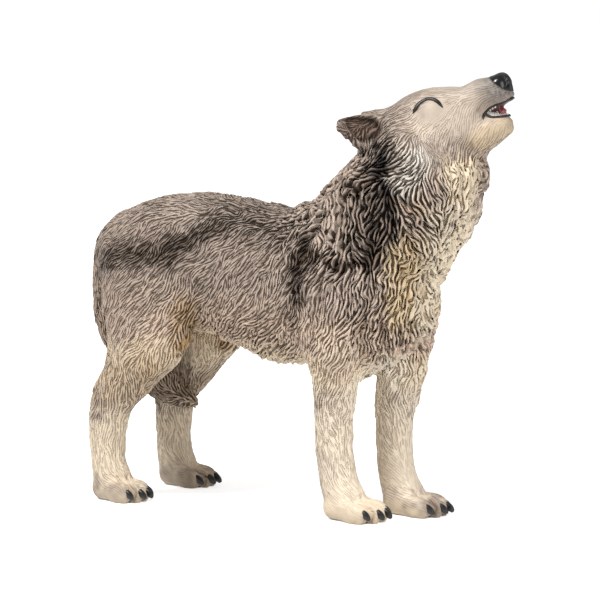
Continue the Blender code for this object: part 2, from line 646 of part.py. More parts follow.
def simplified(name, mesh, voxel, triangles):
    """The same skin with clean, fewer faces."""
    body = bpy.data.objects.new(name, mesh)
    bpy.context.scene.collection.objects.link(body)
    remesh = body.modifiers.new("Remesh", "REMESH")
    remesh.mode = "VOXEL"
    remesh.voxel_size = voxel * MM
    bpy.context.view_layer.update()
    faces = len(body.evaluated_get(bpy.context.evaluated_depsgraph_get()).data.polygons) * 2
    decimate = body.modifiers.new("Decimate", "DECIMATE")
    decimate.ratio = triangles / faces
    decimate.use_collapse_triangulate = True
    bpy.context.view_layer.update()
    made = bpy.data.meshes.new_from_object(body.evaluated_get(bpy.context.evaluated_depsgraph_get()))
    bpy.data.objects.remove(body)
    return made


def flat_soles(mesh):
    """Cut level at the ground, so that it stands on its four paws."""
    bm = bmesh.new()
    bm.from_mesh(mesh)
    everything = bm.verts[:] + bm.edges[:] + bm.faces[:]
    bmesh.ops.bisect_plane(bm, geom=everything, dist=1e-7, plane_co=(0, 0, 0),
                           plane_no=(0, 0, 1), clear_inner=True)
    rim = [edge for edge in bm.edges if edge.is_boundary]
    filled = bmesh.ops.holes_fill(bm, edges=rim, sides=0)["faces"]
    bmesh.ops.triangulate(bm, faces=filled)
    bmesh.ops.recalc_face_normals(bm, faces=bm.faces)
    bm.to_mesh(mesh)
    bm.free()


def centred(mesh):
    """Origin on the ground, under the middle of the outline."""
    points = coordinates(mesh)
    middle = (points.min(axis=0) + points.max(axis=0)) / 2
    set_coordinates(mesh, points - (middle[0], middle[1], 0))


def plastic():
    made = bpy.data.materials.new("painted_plastic")
    made.use_nodes = True
    shader = made.node_tree.nodes["Principled BSDF"]
    shader.inputs["Base Color"].default_value = (0.38, 0.33, 0.27, 1)
    shader.inputs["Roughness"].default_value = 0.55
    shader.inputs["Metallic"].default_value = 0.0
    return made


def main():
    clear_scene()
    skin = fused("wolf", base_forms(), VOXEL)
    blend(skin, 40, 3)
    hollow_ears(skin)
    carve_coat(skin)
    nostrils(skin)
    closed_eyes(skin)
    skin = simplified("wolf", skin, VOXEL, TRIANGLES)
    flat_soles(skin)
    centred(skin)
    for face in skin.polygons:
        face.use_smooth = True
    skin.materials.clear()
    skin.materials.append(plastic())
    skin.name = "wolf"
    collection("wolf_figurine").objects.link(bpy.data.objects.new("wolf", skin))


main()
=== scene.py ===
import math
import bmesh
import bpy
import numpy as np
from mathutils import Matrix, Vector
from mathutils.kdtree import KDTree


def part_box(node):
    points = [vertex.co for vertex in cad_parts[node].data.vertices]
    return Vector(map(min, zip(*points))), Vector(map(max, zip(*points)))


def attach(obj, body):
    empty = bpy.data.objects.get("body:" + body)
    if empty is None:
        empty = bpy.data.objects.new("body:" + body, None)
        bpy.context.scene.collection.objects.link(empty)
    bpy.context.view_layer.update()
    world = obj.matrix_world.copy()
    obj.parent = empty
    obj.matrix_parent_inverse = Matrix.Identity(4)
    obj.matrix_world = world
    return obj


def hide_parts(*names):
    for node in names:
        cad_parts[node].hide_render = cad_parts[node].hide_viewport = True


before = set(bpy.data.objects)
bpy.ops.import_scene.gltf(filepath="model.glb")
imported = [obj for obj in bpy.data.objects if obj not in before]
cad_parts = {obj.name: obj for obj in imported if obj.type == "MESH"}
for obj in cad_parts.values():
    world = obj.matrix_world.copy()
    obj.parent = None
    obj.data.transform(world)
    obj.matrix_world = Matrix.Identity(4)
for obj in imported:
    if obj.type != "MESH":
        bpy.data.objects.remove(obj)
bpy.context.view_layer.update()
cadLow, cadHigh = (np.array(corner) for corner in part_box("wolf"))
mm = (cadHigh[0] - cadLow[0]) / 90.0548  # all sizes below are for a wolf 90 mm long, and follow the frame
plasticIor = 1.49
grains = {"coat": 2.4, "enamel": 1.2}  # flecks of paint to the millimetre

# Sizes of the moulding in millimetres
trunk = {"length": 73.0, "rear": -39.4, "back": 59.5, "depth": 30.5, "chest": 22.0, "hip": 21.0}
neck = {"root": 16.0, "rise": 31.0, "reach": 18.5, "depth": 27.0, "width": 24.0}
head = {"length": 25.5, "width": 15.4, "pitch": 26.0, "turn": 17.0}
ear = {"length": 6.8, "width": 5.8, "thickness": 2.4}
legs = {"foreStance": 11.4, "hindStance": 21.6, "foreX": 18.0, "foreLead": 6.2, "hindX": -32.3,
        "hindLead": 0.8, "fore": 7.2, "hind": 7.0, "thigh": 19.0, "hock": 18.0}
paw = {"foreLength": 12.6, "foreWidth": 9.2, "hindLength": 11.6, "hindWidth": 8.2, "height": 4.6}
tail = {"thickness": 7.8, "drop": 35.0}
fine = {"base": 0.45, "skin": 0.196, "ring": 32, "steps": 5}


def catmullRom(stations, steps):
    rows = np.array(stations, float)
    rows = np.vstack([2 * rows[0] - rows[1], rows, 2 * rows[-1] - rows[-2]])
    t = np.linspace(0, 1, steps, endpoint=False)[:, None]
    smooth = []
    for a, b, c, d in zip(rows[:-3], rows[1:-2], rows[2:-1], rows[3:]):
        smooth.append(0.5 * (2 * b + (c - a) * t + (2 * a - 5 * b + 4 * c - d) * t**2
                             + (3 * b - a - 3 * c + d) * t**3))
    return np.vstack(smooth + [rows[-2][None]])


def meshOf(bm, name):
    mesh = bpy.data.meshes.new(name)
    bm.to_mesh(mesh)
    bm.free()
    return mesh


def skinned(name, rings):
    # a closed skin over rings of places in millimetres
    bm = bmesh.new()
    rings = [[bm.verts.new(place * mm) for place in ring] for ring in rings]
    for ring, following in zip(rings, rings[1:]):
        for i in range(len(ring)):
            j = (i + 1) % len(ring)
            bm.faces.new((ring[i], ring[j], following[j], following[i]))
    bm.faces.new(rings[0][::-1])
    bm.faces.new(rings[-1])
    bmesh.ops.recalc_face_normals(bm, faces=bm.faces)
    return meshOf(bm, name)


def placed(bm, place, name):
    for vertex in bm.verts:
        vertex.co = (place @ vertex.co) * mm
    return meshOf(bm, name)


def loft(name, stations, squareness=2.2, place=Matrix()):
    # each station: x, y, z, half width, half height above and below
    rows = catmullRom(stations, fine["steps"])
    centres = rows[:, :3]
    half = np.maximum(rows[:, 3:], 0.15)
    tangents = np.gradient(centres, axis=0)
    angles = np.arange(fine["ring"]) * 2 * math.pi / fine["ring"]
    across, along = (np.sign(part) * np.abs(part) ** (2 / squareness)
                     for part in (np.cos(angles), np.sin(angles)))
    rings = []
    for centre, tangent, (wide, above, below) in zip(centres, tangents, half):
        tangent = Vector(tangent).normalized()
        lateral = Vector((0, 1, 0)) - tangent.y * tangent
        lateral.normalize()
        upward = tangent.cross(lateral)
        rings.append([place @ (Vector(centre) + lateral * (a * wide)
                               + upward * (u * (above if u > 0 else below))) for a, u in zip(across, along)])
    return skinned(name, rings)


def trunkForm():
    shape = [(0.006, -10.5, 0.16, 0.14, "hip"), (0.035, -6.8, 0.42, 0.62, "hip"),
             (0.095, -3.1, 0.65, 0.88, "hip"), (0.18, -0.6, 0.8, 0.98, "hip"),
             (0.29, 0.7, 0.86, 0.96, "hip"), (0.4, 0.5, 0.87, 0.92, "hip"),
             (0.5, -0.9, 0.9, 0.96, "hip"), (0.6, -1.7, 0.94, 0.97, "chest"),
             (0.7, 0.2, 1.01, 1.03, "chest"), (0.8, 2.2, 1.06, 1.02, "chest"),
             (0.9, -1.0, 0.9, 0.9, "chest"), (0.97, -8.0, 0.56, 0.62, "chest"),
             (1.0, -12.5, 0.24, 0.24, "chest")]
    stations = []
    for share, rise, deep, wide, width in shape:
        half = deep * trunk["depth"] / 2
        stations.append((trunk["rear"] + share * trunk["length"], 0, trunk["back"] + rise - half,
                         wide * trunk[width] / 2, half, half))
    return loft("trunk", stations, 2.3)


def neckPoint(shareX, shareZ, lean=0.0):
    return (neck["root"] + shareX * neck["reach"], lean, trunk["back"] - 15 + shareZ * neck["rise"])


def neckForm():
    shape = [(-0.35, -0.42, 0.0, 0.62, 0.4, 0.4), (0.02, 0.0, 0.0, 0.94, 0.55, 0.7),
             (0.34, 0.32, 0.4, 1.0, 0.45, 0.58), (0.6, 0.6, 1.0, 1.02, 0.37, 0.6),
             (0.8, 0.8, 1.8, 0.98, 0.29, 0.57), (0.95, 0.91, 2.8, 0.84, 0.24, 0.46),
             (1.03, 0.97, 3.2, 0.44, 0.13, 0.22)]
    return loft("neck", [(*neckPoint(reach, rise, lean), wide * neck["width"] / 2,
                          nape * neck["depth"], throat * neck["depth"])
                         for reach, rise, lean, wide, nape, throat in shape], 2.1)


def headPlace():
    turn = Matrix.Rotation(math.radians(head["turn"]), 4, "Z")
    pitch = Matrix.Rotation(math.radians(-head["pitch"]), 4, "Y")
    return Matrix.Translation(neckPoint(0.49, 0.925, 2.0)) @ turn @ pitch


def headForm(name, squareness):
    stations = [(share * head["length"], 0, lift, wide * head["width"] / 2, above, below)
                for share, lift, wide, above, below in headShapes[name]]
    return loft(name, stations, squareness, headPlace())


headShapes = {
    "skull": [(-0.21, -0.6, 0.52, 3.2, 4.6), (-0.11, -0.5, 0.86, 4.9, 6.8),
              (0.02, 0.0, 1.0, 5.2, 8.2), (0.16, 0.0, 1.03, 5.5, 9.0),
              (0.31, 0.0, 0.99, 5.8, 9.6), (0.46, 0.0, 0.88, 5.1, 9.9),
              (0.56, 0.0, 0.76, 3.9, 9.9), (0.63, -0.4, 0.68, 2.9, 9.5),
              (0.69, -1.0, 0.61, 3.4, 8.8), (0.745, -1.6, 0.56, 3.6, 7.8),
              (0.775, -2.4, 0.46, 2.6, 5.6)],
    "muzzle": [(0.6, 0.0, 0.6, 2.2, 3.2), (0.69, 0.0, 0.57, 2.7, 3.7),
               (0.78, 0.0, 0.54, 2.9, 3.6), (0.86, 0.0, 0.51, 2.6, 3.2),
               (0.92, 0.0, 0.46, 2.5, 3.0), (0.955, 0.0, 0.41, 2.5, 2.9),
               (0.98, 0.1, 0.34, 2.3, 2.7), (0.995, 0.2, 0.2, 1.8, 1.9)],
    "lowerJaw": [(0.58, -6.8, 0.58, 2.5, 3.6), (0.72, -6.9, 0.54, 2.4, 3.1),
                 (0.8, -7.0, 0.5, 2.1, 2.6), (0.85, -7.2, 0.47, 1.4, 2.1),
                 (0.885, -7.1, 0.4, 0.9, 1.6), (0.91, -7.0, 0.28, 0.6, 1.0),
                 (0.925, -6.9, 0.14, 0.3, 0.5)],
    "mouthCore": [(0.6, -4.3, 0.34, 2.2, 2.2), (0.72, -4.3, 0.34, 2.1, 2.1),
                  (0.82, -4.3, 0.32, 2.0, 2.0), (0.87, -4.4, 0.28, 1.8, 1.9),
                  (0.895, -4.4, 0.16, 1.0, 1.2)]}


def lump(share, y, lift, radii):
    bm = bmesh.new()
    bmesh.ops.create_icosphere(bm, subdivisions=3, radius=1)
    place = headPlace() @ Matrix.Translation((share * head["length"], y, lift)) @ Matrix.Diagonal((*radii, 1))
    return placed(bm, place, "lump")


def earPlace(hand):
    root = Vector((0.02 * head["length"], hand * 0.36 * head["width"], 2.6))
    back = Matrix.Rotation(math.radians(hand * -27), 4, "Z")
    tilt = Matrix.Rotation(math.radians(16), 4, "Y")
    slant = Matrix.Identity(4)
    slant[0][2] = -0.28  # the upper edge reaches further back than the lower
    return headPlace() @ Matrix.Translation(root) @ back @ tilt @ slant


def earForm(hand):
    shape = [(0.3, -0.5, 0.36, 1.0), (0.0, -0.6, 0.56, 1.1), (-0.3, -0.5, 0.56, 1.0),
             (-0.6, -0.25, 0.52, 0.9), (-0.86, 0.1, 0.45, 0.8), (-1.0, 0.5, 0.38, 0.66),
             (-1.06, 0.8, 0.26, 0.36)]
    return loft("ear", [(share * ear["length"], 0, lift, thick * ear["thickness"] / 2,
                         wide * ear["width"], wide * ear["width"])
                        for share, lift, wide, thick in shape], 3.4, earPlace(hand))


def foreleg(hand):
    x = legs["foreX"] + (legs["foreLead"] if hand > 0 else 0)
    y = hand * legs["foreStance"] / 2
    chest = hand * trunk["chest"] / 2
    elbow = trunk["back"] - trunk["depth"]
    thick = legs["fore"] / 2
    return loft("foreleg", [
        (x + 1, chest * 0.5, elbow + 22, 3.0, 6.0, 6.0),
        (x + 0, chest * 0.66, elbow + 15, 4.4, 7.6, 8.0),
        (x - 0.2, chest * 0.68, elbow + 7, 4.6, 6.4, 6.6),
        (x + 0.0, y * 1.18, elbow + 0, 4.2, 4.9, 4.5),
        (x - 0.2, y * 1.1, elbow * 0.8, thick * 1.08, thick * 1.04, thick * 1.1),
        (x - 0.4, y * 1.04, elbow * 0.58, thick * 0.98, thick * 0.94, thick * 1.0),
        (x - 0.2, y, elbow * 0.36, thick * 0.92, thick * 1.02, thick * 0.98),
        (x + 0.6, y, elbow * 0.22, thick * 0.94, thick * 1.08, thick * 0.98),
        (x + 1.8, y, elbow * 0.11, thick * 1.04, thick * 1.2, thick * 1.0),
        (x + 2.6, y, elbow * 0.04, thick * 0.9, thick * 1.1, thick * 0.9)])


def hindleg(hand):
    x = legs["hindX"] + (legs["hindLead"] if hand > 0 else 0)
    y = hand * legs["hindStance"] / 2
    hip = hand * trunk["hip"] / 2
    thick = legs["hind"] / 2
    belly = trunk["back"] - legs["thigh"]
    hock = legs["hock"]
    return loft("hindleg", [
        (x + 7.5, hip * 0.5, belly + 12, 3.4, 5.6, 6.0),
        (x + 6.6, hip * 0.7, belly + 4, 4.4, 8.6, 8.8),
        (x + 7.6, hip * 0.8, belly - 3.5, 4.6, 10.2, 9.4),
        (x + 7.6, y * 0.88, belly - 8.0, 4.4, 9.8, 7.8),
        (x + 6.4, y * 0.92, belly - 12.0, 4.1, 7.2, 6.6),
        (x + 4.6, y * 0.95, belly - 16.5, 3.7, 4.8, 5.4),
        (x + 2.6, y * 0.98, hock + 3.8, 3.5, 4.2, 4.6),
        (x + 0.5, y, hock, thick, thick * 1.14, thick * 1.16),
        (x + 0.0, y, hock * 0.66, thick * 0.92, thick * 1.0, thick * 0.96),
        (x + 0.2, y, hock * 0.4, thick * 0.94, thick * 1.02, thick * 0.96),
        (x + 1.0, y, hock * 0.2, thick * 1.02, thick * 1.16, thick * 0.98),
        (x + 1.6, y, hock * 0.07, thick * 0.9, thick * 1.0, thick * 0.9)])


# across, reach and width of the four toes, as shares of the paw
toes = [(-0.37, 0.86, 0.145), (-0.13, 1.0, 0.155), (0.13, 1.0, 0.155), (0.37, 0.86, 0.145)]


def pawPlaces():
    for hand in (-1, 1):
        splay = Matrix.Rotation(math.radians(hand * 3), 4, "Z")
        for end, behind in (("fore", 1.6), ("hind", 2.2)):
            x = legs[end + "X"] + (legs[end + "Lead"] if hand > 0 else 0) - behind
            place = Matrix.Translation((x, hand * legs[end + "Stance"] / 2, 0)) @ splay
            yield place, paw[end + "Length"], paw[end + "Width"]


def pawForms(place, length, width):
    high = paw["height"]
    pad = [(0.0, 0.34, 0.26, 0.36, 0.3), (0.1, 0.4, 0.38, 0.64, 0.46),
           (0.34, 0.42, 0.46, 0.62, 0.5), (0.58, 0.42, 0.48, 0.48, 0.52),
           (0.76, 0.38, 0.46, 0.34, 0.5), (0.86, 0.34, 0.3, 0.18, 0.4)]
    made = [loft("pad", [(share * length, 0, centre * high, wide * width, above * high,
                          below * high) for share, centre, wide, above, below in pad], 2.3, place)]
    for across, reach, wide in toes:
        tip = reach * length
        at = across * width
        half = wide * width
        made.append(loft("toe", [
            (tip - 0.5 * length, at * 0.86, 0.46 * high, half * 0.9, 0.36 * high, 0.4 * high),
            (tip - 0.3 * length, at, 0.46 * high, half * 1.12, 0.4 * high, 0.5 * high),
            (tip - 0.14 * length, at * 1.03, 0.4 * high, half * 1.16, 0.38 * high, 0.5 * high),
            (tip - 0.04 * length, at * 1.04, 0.34 * high, half * 0.95, 0.26 * high, 0.4 * high),
            (tip, at * 1.04, 0.32 * high, half * 0.4, 0.1 * high, 0.16 * high)], 2.2, place))
    return made


def tailForm():
    top = trunk["back"] - 4.5
    rear = trunk["rear"] + 0.9
    thick = tail["thickness"] / 2
    shape = [(7.0, 0.0, 0.02, 0.7), (3.4, 0.0, 0.08, 0.9), (1.4, 0.0, 0.2, 0.95),
             (0.8, 0.0, 0.4, 1.0), (2.2, 0.3, 0.62, 1.1), (6.4, 1.0, 0.82, 1.14),
             (11.8, 1.6, 0.95, 0.96), (15.8, 2.0, 1.02, 0.6), (18.6, 2.2, 1.06, 0.2)]
    return loft("tail", [(rear + x, y, top - fall * tail["drop"], wide * thick * 0.85,
                          wide * thick, wide * thick) for x, y, fall, wide in shape], 2.0)


def baseForms():
    forms = [trunkForm(), neckForm(), tailForm(), lump(0.4, 0, -11.6, (4.9, 6.6, 5.4)),
             headForm("skull", 2.6), headForm("muzzle", 2.7), headForm("lowerJaw", 2.7),
             headForm("mouthCore", 2.2)]
    for hand in (-1, 1):
        forms += [earForm(hand), foreleg(hand), hindleg(hand),
                  lump(0.415, hand * 0.385 * head["width"], 1.1, (2.6, 1.5, 2.0)),
                  lump(0.5, hand * 0.2 * head["width"], 2.6, (3.2, 2.2, 1.6))]
    for place, length, width in pawPlaces():
        forms += pawForms(place, length, width)
    return forms


def added(name, data):
    # a new object in the scene
    thing = bpy.data.objects.new(name, data)
    bpy.context.scene.collection.objects.link(thing)
    return thing


def remeshed(mesh, voxel):
    body = added("body", mesh)
    remesh = body.modifiers.new("Remesh", "REMESH")
    remesh.mode = "VOXEL"
    remesh.voxel_size = voxel * mm
    bpy.context.view_layer.update()
    made = bpy.data.meshes.new_from_object(
        body.evaluated_get(bpy.context.evaluated_depsgraph_get()))
    bpy.data.objects.remove(body)
    return made


def fused(forms, voxel):
    bm = bmesh.new()
    for form in forms:
        bm.from_mesh(form)
    return remeshed(meshOf(bm, "forms"), voxel)


def fetched(items, field, width=1, kind=float):
    # one field of every item
    flat = np.empty(len(items) * width, kind)
    items.foreach_get(field, flat)
    return flat.reshape(-1, width) if width > 1 else flat


def edgeList(mesh):
    return fetched(mesh.edges, "vertices", 2, np.int64)


def coordinates(mesh):
    return fetched(mesh.vertices, "co", 3) / mm


def setCoordinates(mesh, points):
    mesh.vertices.foreach_set("co", (points * mm).ravel())
    mesh.update()


def normals(mesh):
    return fetched(mesh.vertices, "normal", 3)


def gathered(pairs, count, toFirst, toSecond):
    return np.bincount(pairs[:, 0], toFirst, count) + np.bincount(pairs[:, 1], toSecond, count)


def neighbourMean(values, pairs):
    total = np.stack([gathered(pairs, len(values), column[pairs[:, 1]], column[pairs[:, 0]])
                      for column in values.reshape(len(values), -1).T], axis=1)
    return (total / np.bincount(pairs.ravel(), minlength=len(values))[:, None]).reshape(values.shape)


def eased(values, pairs, turns, share=0.5):
    # moved towards the mean of the neighbours, a few times over
    for turn in range(turns):
        values = values + (neighbourMean(values, pairs) - values) * share
    return values


def dots(first, second):
    return np.einsum("ij,ij->i", first, second)


def unit(values):
    return np.clip(values, 0, 1)


def smoothStep(share):
    return share * share * (3 - 2 * share)


def within(points, place):
    inverse = np.array(place.inverted())
    return points @ inverse[:3, :3].T + inverse[:3, 3]


def fineness(points):
    # 1 on paws, ears and mouth, where small forms stay crisp, and 0 on the body
    local = within(points, headPlace())
    paws = unit((7.5 - points[:, 2]) / 2.5)
    face = unit((local[:, 0] - 0.62 * head["length"]) / 3) * (points[:, 2] > trunk["back"])
    ears = np.zeros(len(points))
    for hand in (-1, 1):
        middle = np.array(earPlace(hand) @ Vector((-0.45 * ear["length"], 0, 0)))
        away = np.linalg.norm(points - middle, axis=1)
        ears = np.maximum(ears, unit((7.0 - away) / 2))
    return np.maximum.reduce([paws, face * 0.96, ears * 0.95])


def blend(mesh, fills, passes):
    # fills the creases where forms meet, then eases the whole skin
    pairs = edgeList(mesh)
    points = coordinates(mesh)
    soft = 1 - fineness(points)[:, None]
    for turn in range(fills):
        if turn % 5 == 0:
            setCoordinates(mesh, points)
            outward = normals(mesh)
        move = neighbourMean(points, pairs) - points
        rise = dots(move, outward)[:, None]
        points += np.where(rise > 0, 1.0, 0.12) * move * soft
    setCoordinates(mesh, eased(points, pairs, passes))


# The lie of the hair. Each row is a place on the right side, as share of the trunk's length
# from the rump, distance out and share of the back's height, then the hair's direction
# along, out and up, and how long the coat is there
lie = [(0.04, 2, 0.94, -1, 0, -0.4, 0.35), (0.26, 2, 1.01, -1, 0, 0, 0.35),
       (0.53, 2, 1, -1, 0, 0.02, 0.42), (0.7, 2, 1.04, -0.9, 0, -0.3, 0.62),
       (0.15, 9, 0.84, -0.8, 0, -0.6, 0.36), (0.33, 9, 0.84, -0.75, 0, -0.65, 0.38),
       (0.53, 10, 0.84, -0.7, 0, -0.7, 0.42), (0.4, 10, 0.7, -0.66, 0, -0.75, 0.42),
       (0.6, 10, 0.7, -0.6, 0, -0.8, 0.46), (0.4, 6, 0.55, -0.45, 0, -0.85, 0.6),
       (0.6, 7, 0.51, -0.36, 0, -0.9, 0.62), (0.07, 9, 0.81, -0.6, 0, -0.8, 0.35),
       (0.13, 9, 0.64, -0.55, 0, -0.85, 0.34), (0.24, 10, 0.6, -0.45, 0, -0.88, 0.44),
       (0.19, 10, 0.46, -0.25, 0, -1, 0.36), (0.09, 11, 0.31, -0.1, 0, -1, 0.3),
       (0.11, 11, 0.15, 0.05, 0, -1, 0.24), (0.15, 11, 0.04, 0.9, 0, -0.3, 0.12),
       (0.73, 9, 0.84, -0.45, 0, -0.9, 0.5), (0.79, 9, 0.71, -0.28, 0, -0.95, 0.48),
       (0.87, 8, 0.71, -0.08, 0, -1, 0.62), (0.73, 8, 0.52, -0.45, 0, -0.88, 0.48),
       (0.77, 6, 0.37, 0, 0, -1, 0.32), (0.78, 6, 0.17, 0.08, 0, -1, 0.24),
       (0.83, 6, 0.04, 0.9, 0, -0.3, 0.12), (0.91, 5, 0.04, 0.9, 0, -0.3, 0.12),
       (0.73, 4, 1.08, -0.75, 0, -0.65, 0.9), (0.81, 4, 1.19, -0.75, 0, -0.65, 0.9),
       (0.78, 10, 1.01, -0.55, 0, -0.85, 1), (0.89, 12, 1.04, -0.1, 0, -1, 1),
       (0.89, 12, 0.92, -0.12, 0, -1, 1), (1.02, 8, 1.04, 0.3, 0, -0.95, 0.9),
       (1.02, 4, 0.81, 0.12, 0, -1, 0.85), (0.97, 4, 0.64, -0.1, 0, -1, 0.7),
       (1.13, 4, 1.12, 0.15, 0, -1, 0.8), (0.88, 2, 1.33, -0.85, -0.2, -0.45, 0.26),
       (0.95, 2, 1.37, -0.86, -0.2, -0.45, 0.14), (1.11, 3, 1.42, -0.88, -0.2, -0.43, 0.06),
       (1, 5, 1.28, -0.7, -0.1, -0.75, 0.22), (0.9, 8, 1.19, -0.4, 0, -0.9, 0.62),
       (1.12, 4, 1.27, -0.6, 0, -0.8, 0.12), (0.79, 6, 1.29, -0.95, 0, 0.1, 0.16),
       (0.02, 0, 0.76, 0, 0, -1, 0.5), (0.03, 0, 0.54, 0.12, 0, -1, 0.5),
       (0.12, 0, 0.37, 0.8, 0, -0.6, 0.5), (0.24, 0, 0.3, 0.9, 0, -0.42, 0.5)]


def hashed(cells, salt):
    # a repeatable number from 0 to 1 for each whole-number cell
    a = cells.astype(np.int64)
    mixed = (a[:, 0] * 73856093) ^ (a[:, 1] * 19349663) ^ (a[:, 2] * 83492791) ^ (salt * 2654435)
    mixed = (mixed ^ (mixed >> 13)) * 1274126177
    return ((mixed ^ (mixed >> 16)) & 0xFFFFFF) / float(0xFFFFFF)


def softNoise(points, size, salt):
    scaled = points / size
    low = np.floor(scaled)
    part = smoothStep(scaled - low)
    total = np.zeros(len(points))
    for corner in np.ndindex(2, 2, 2):
        weight = np.prod(np.where(np.array(corner), part, 1 - part), axis=1)
        total += weight * hashed(low + np.array(corner), salt)
    return total * 2 - 1


def turned(direction, outward, angle):
    # the direction swung within the skin
    direction = direction - outward * np.sum(direction * outward, axis=1)[:, None]
    direction /= np.linalg.norm(direction, axis=1)[:, None] + 1e-9
    sideways = np.cross(outward, direction)
    return direction * np.cos(angle)[:, None] + sideways * np.sin(angle)[:, None]


def lieOfCoat(points, outward, rows):
    table = np.array(rows)
    anchors = np.stack([trunk["rear"] + table[:, 0] * trunk["length"], table[:, 1],
                        table[:, 2] * trunk["back"]], axis=1)
    folded = points * (1, 0, 1) + np.abs(points) * (0, 1, 0)
    direction = np.zeros((len(points), 3))
    length = np.zeros(len(points))
    total = np.zeros(len(points))
    for anchor, row in zip(anchors, table):
        weight = 1 / (np.sum((folded - anchor) ** 2, axis=1) + 3) ** 2
        direction += weight[:, None] * row[3:6]
        length += weight * row[6]
        total += weight
    length /= total
    swirl = softNoise(points, 6.0, 5) * (0.2 + 0.5 * length)
    return turned(direction, outward, swirl), length


def treeOf(points):
    tree = KDTree(len(points))
    for index, point in enumerate(points):
        tree.insert(point, index)
    tree.balance()
    return tree


def rootsOfLocks(points, tree, spacing, salt):
    cells = np.unique(np.floor(points / spacing), axis=0)
    spread = np.stack([hashed(cells, salt + axis) for axis in range(3)], axis=1)
    found = [tree.find(place) for place in (cells + spread) * spacing]
    return [index for _, index, away in found if away < 0.62 * spacing]


# Pointed locks: spacing, coat lengths served from and to, then length, width and height
locks = [(2.6, 0.56, 2.0, 8.5, 3.0, 1.0), (2.8, 0.33, 0.56, 8.0, 3.0, 0.5),
         (2.4, 0.2, 0.33, 5.5, 2.4, 0.3)]


def lockSpines(points, outward):
    # centre lines of the locks, planted where the solid has them
    direction, coat = lieOfCoat(points, outward, lie)
    tree = treeOf(points)
    salt = 11
    for spacing, low, high, length, width, lift in locks:
        starts = rootsOfLocks(points, tree, spacing, salt)
        salt += 7
        chance = hashed(np.floor(points[starts] * 50), salt)
        for start, luck in zip(starts, chance):
            fuzzy = coat[start] + 0.12 * (luck - 0.5)
            if not low <= fuzzy < high:
                continue
            reach = length * (0.8 + 0.4 * luck)
            bend = (luck * 7.3 % 1 - 0.5) * 1.1
            spine = [points[start]]
            here = start
            for step in range(6):
                turn = bend * (step / 5 - 0.5)
                heading = direction[here] * math.cos(turn)
                heading = heading + np.cross(outward[here], direction[here]) * math.sin(turn)
                target = spine[-1] + heading * reach / 6
                _, here, _ = tree.find(target)
                lifted = np.dot(target - points[here], outward[here])
                spine.append(target - outward[here] * lifted)
            yield np.array(spine), width, lift * (0.7 + 0.6 * (luck * 3.7 % 1)), outward[start]


def nearestAlong(places, spine):
    # distance from a line, and how far along it that is
    best = np.full(len(places), 9.0)
    along = np.zeros(len(places))
    for k, (a, b) in enumerate(zip(spine, spine[1:])):
        span = b - a
        share = unit((places - a) @ span / (span @ span + 1e-9))
        away = np.linalg.norm(places - a - share[:, None] * span, axis=1)
        closer = away < best
        best = np.where(closer, away, best)
        along = np.where(closer, (k + share) / (len(spine) - 1), along)
    return best, along


def raiseLocks(points, outward, tree, spines):
    height = np.zeros(len(points))
    for spine, width, lift, facing in spines:
        near = list({hit[1] for place in spine for hit in tree.find_range(place, width * 0.8)})
        if len(near) < 3:
            continue
        near = np.array(near)
        best, along = nearestAlong(points[near], spine)
        half = width / 2 * unit(0.55 + 1.1 * along) * unit((1.04 - along) * 2.4) ** 0.7
        across = unit(1 - (best / np.maximum(half, 1e-6)) ** 2)
        rise = lift * across ** 0.6 * unit(0.45 + 0.8 * along)
        height[near] = np.maximum(height[near], rise * (outward[near] @ facing > 0.1))
    return height


# The tooled hair, by length of coat: pitch across, and depth of the grooves between. A ridge starts
# where the wave passes the sill, is full a little further up, and the breaks along it move the sill
hairs = {"sill": 0.42, "soft": 0.85, "breaks": 0.8,
         "coat": [0.04, 0.2, 0.34, 0.46, 0.62, 0.9], "pitch": [0.42, 0.46, 0.52, 0.54, 0.66, 0.84],
         "deep": [0.07, 0.12, 0.22, 0.26, 0.44, 0.62]}
# Where the cheek, the throat and the flank swirl, in the same columns as the lie
swirls = [(1.044, 8.3, 1.166, -0.45, 0, -0.9, 0.56), (1.067, 6, 1.21, 0.05, 0, -1, 0.22),
          (1.016, 9.3, 1.118, -0.9, 0, -0.45, 0.6), (0.99, 10, 1.176, -0.55, 0.1, -0.8, 0.56),
          (1.1, 5, 1.09, 0.85, 0, -0.35, 0.62), (1.09, 5.5, 1.15, -0.2, 0, -0.95, 0.42),
          (1.07, 5, 1.02, 0.45, 0, -0.9, 0.8)]


def hairLie(points, outward):
    # the wavy direction of the tooled hair, its length and its ridges' turns in each millimetre
    direction, coat = lieOfCoat(points, outward, lie + swirls)
    wave = softNoise(points, 3.4, 31) * np.interp(coat, [0.1, 0.4, 0.9], [0.3, 0.45, 0.5])
    wave += softNoise(points, 1.5, 32) * np.interp(coat, [0.1, 0.4, 0.9], [0.35, 0.6, 0.95])
    direction = turned(direction, outward, wave)
    spread = 1 + 0.22 * softNoise(points, 4.0, 33)
    return direction, coat, 2 * np.pi / np.interp(coat, hairs["coat"], hairs["pitch"]) * spread


def allPairs(mesh):
    # every edge and both diagonals of every square
    loops = fetched(mesh.loops, "vertex_index", 1, np.int64)
    starts = fetched(mesh.polygons, "loop_start", 1, np.int64)
    first = starts[fetched(mesh.polygons, "loop_total", 1, np.int64) == 4]
    return np.vstack([edgeList(mesh)] + [np.stack([loops[first + k], loops[first + k + 2]], axis=1)
                                         for k in (0, 1)])


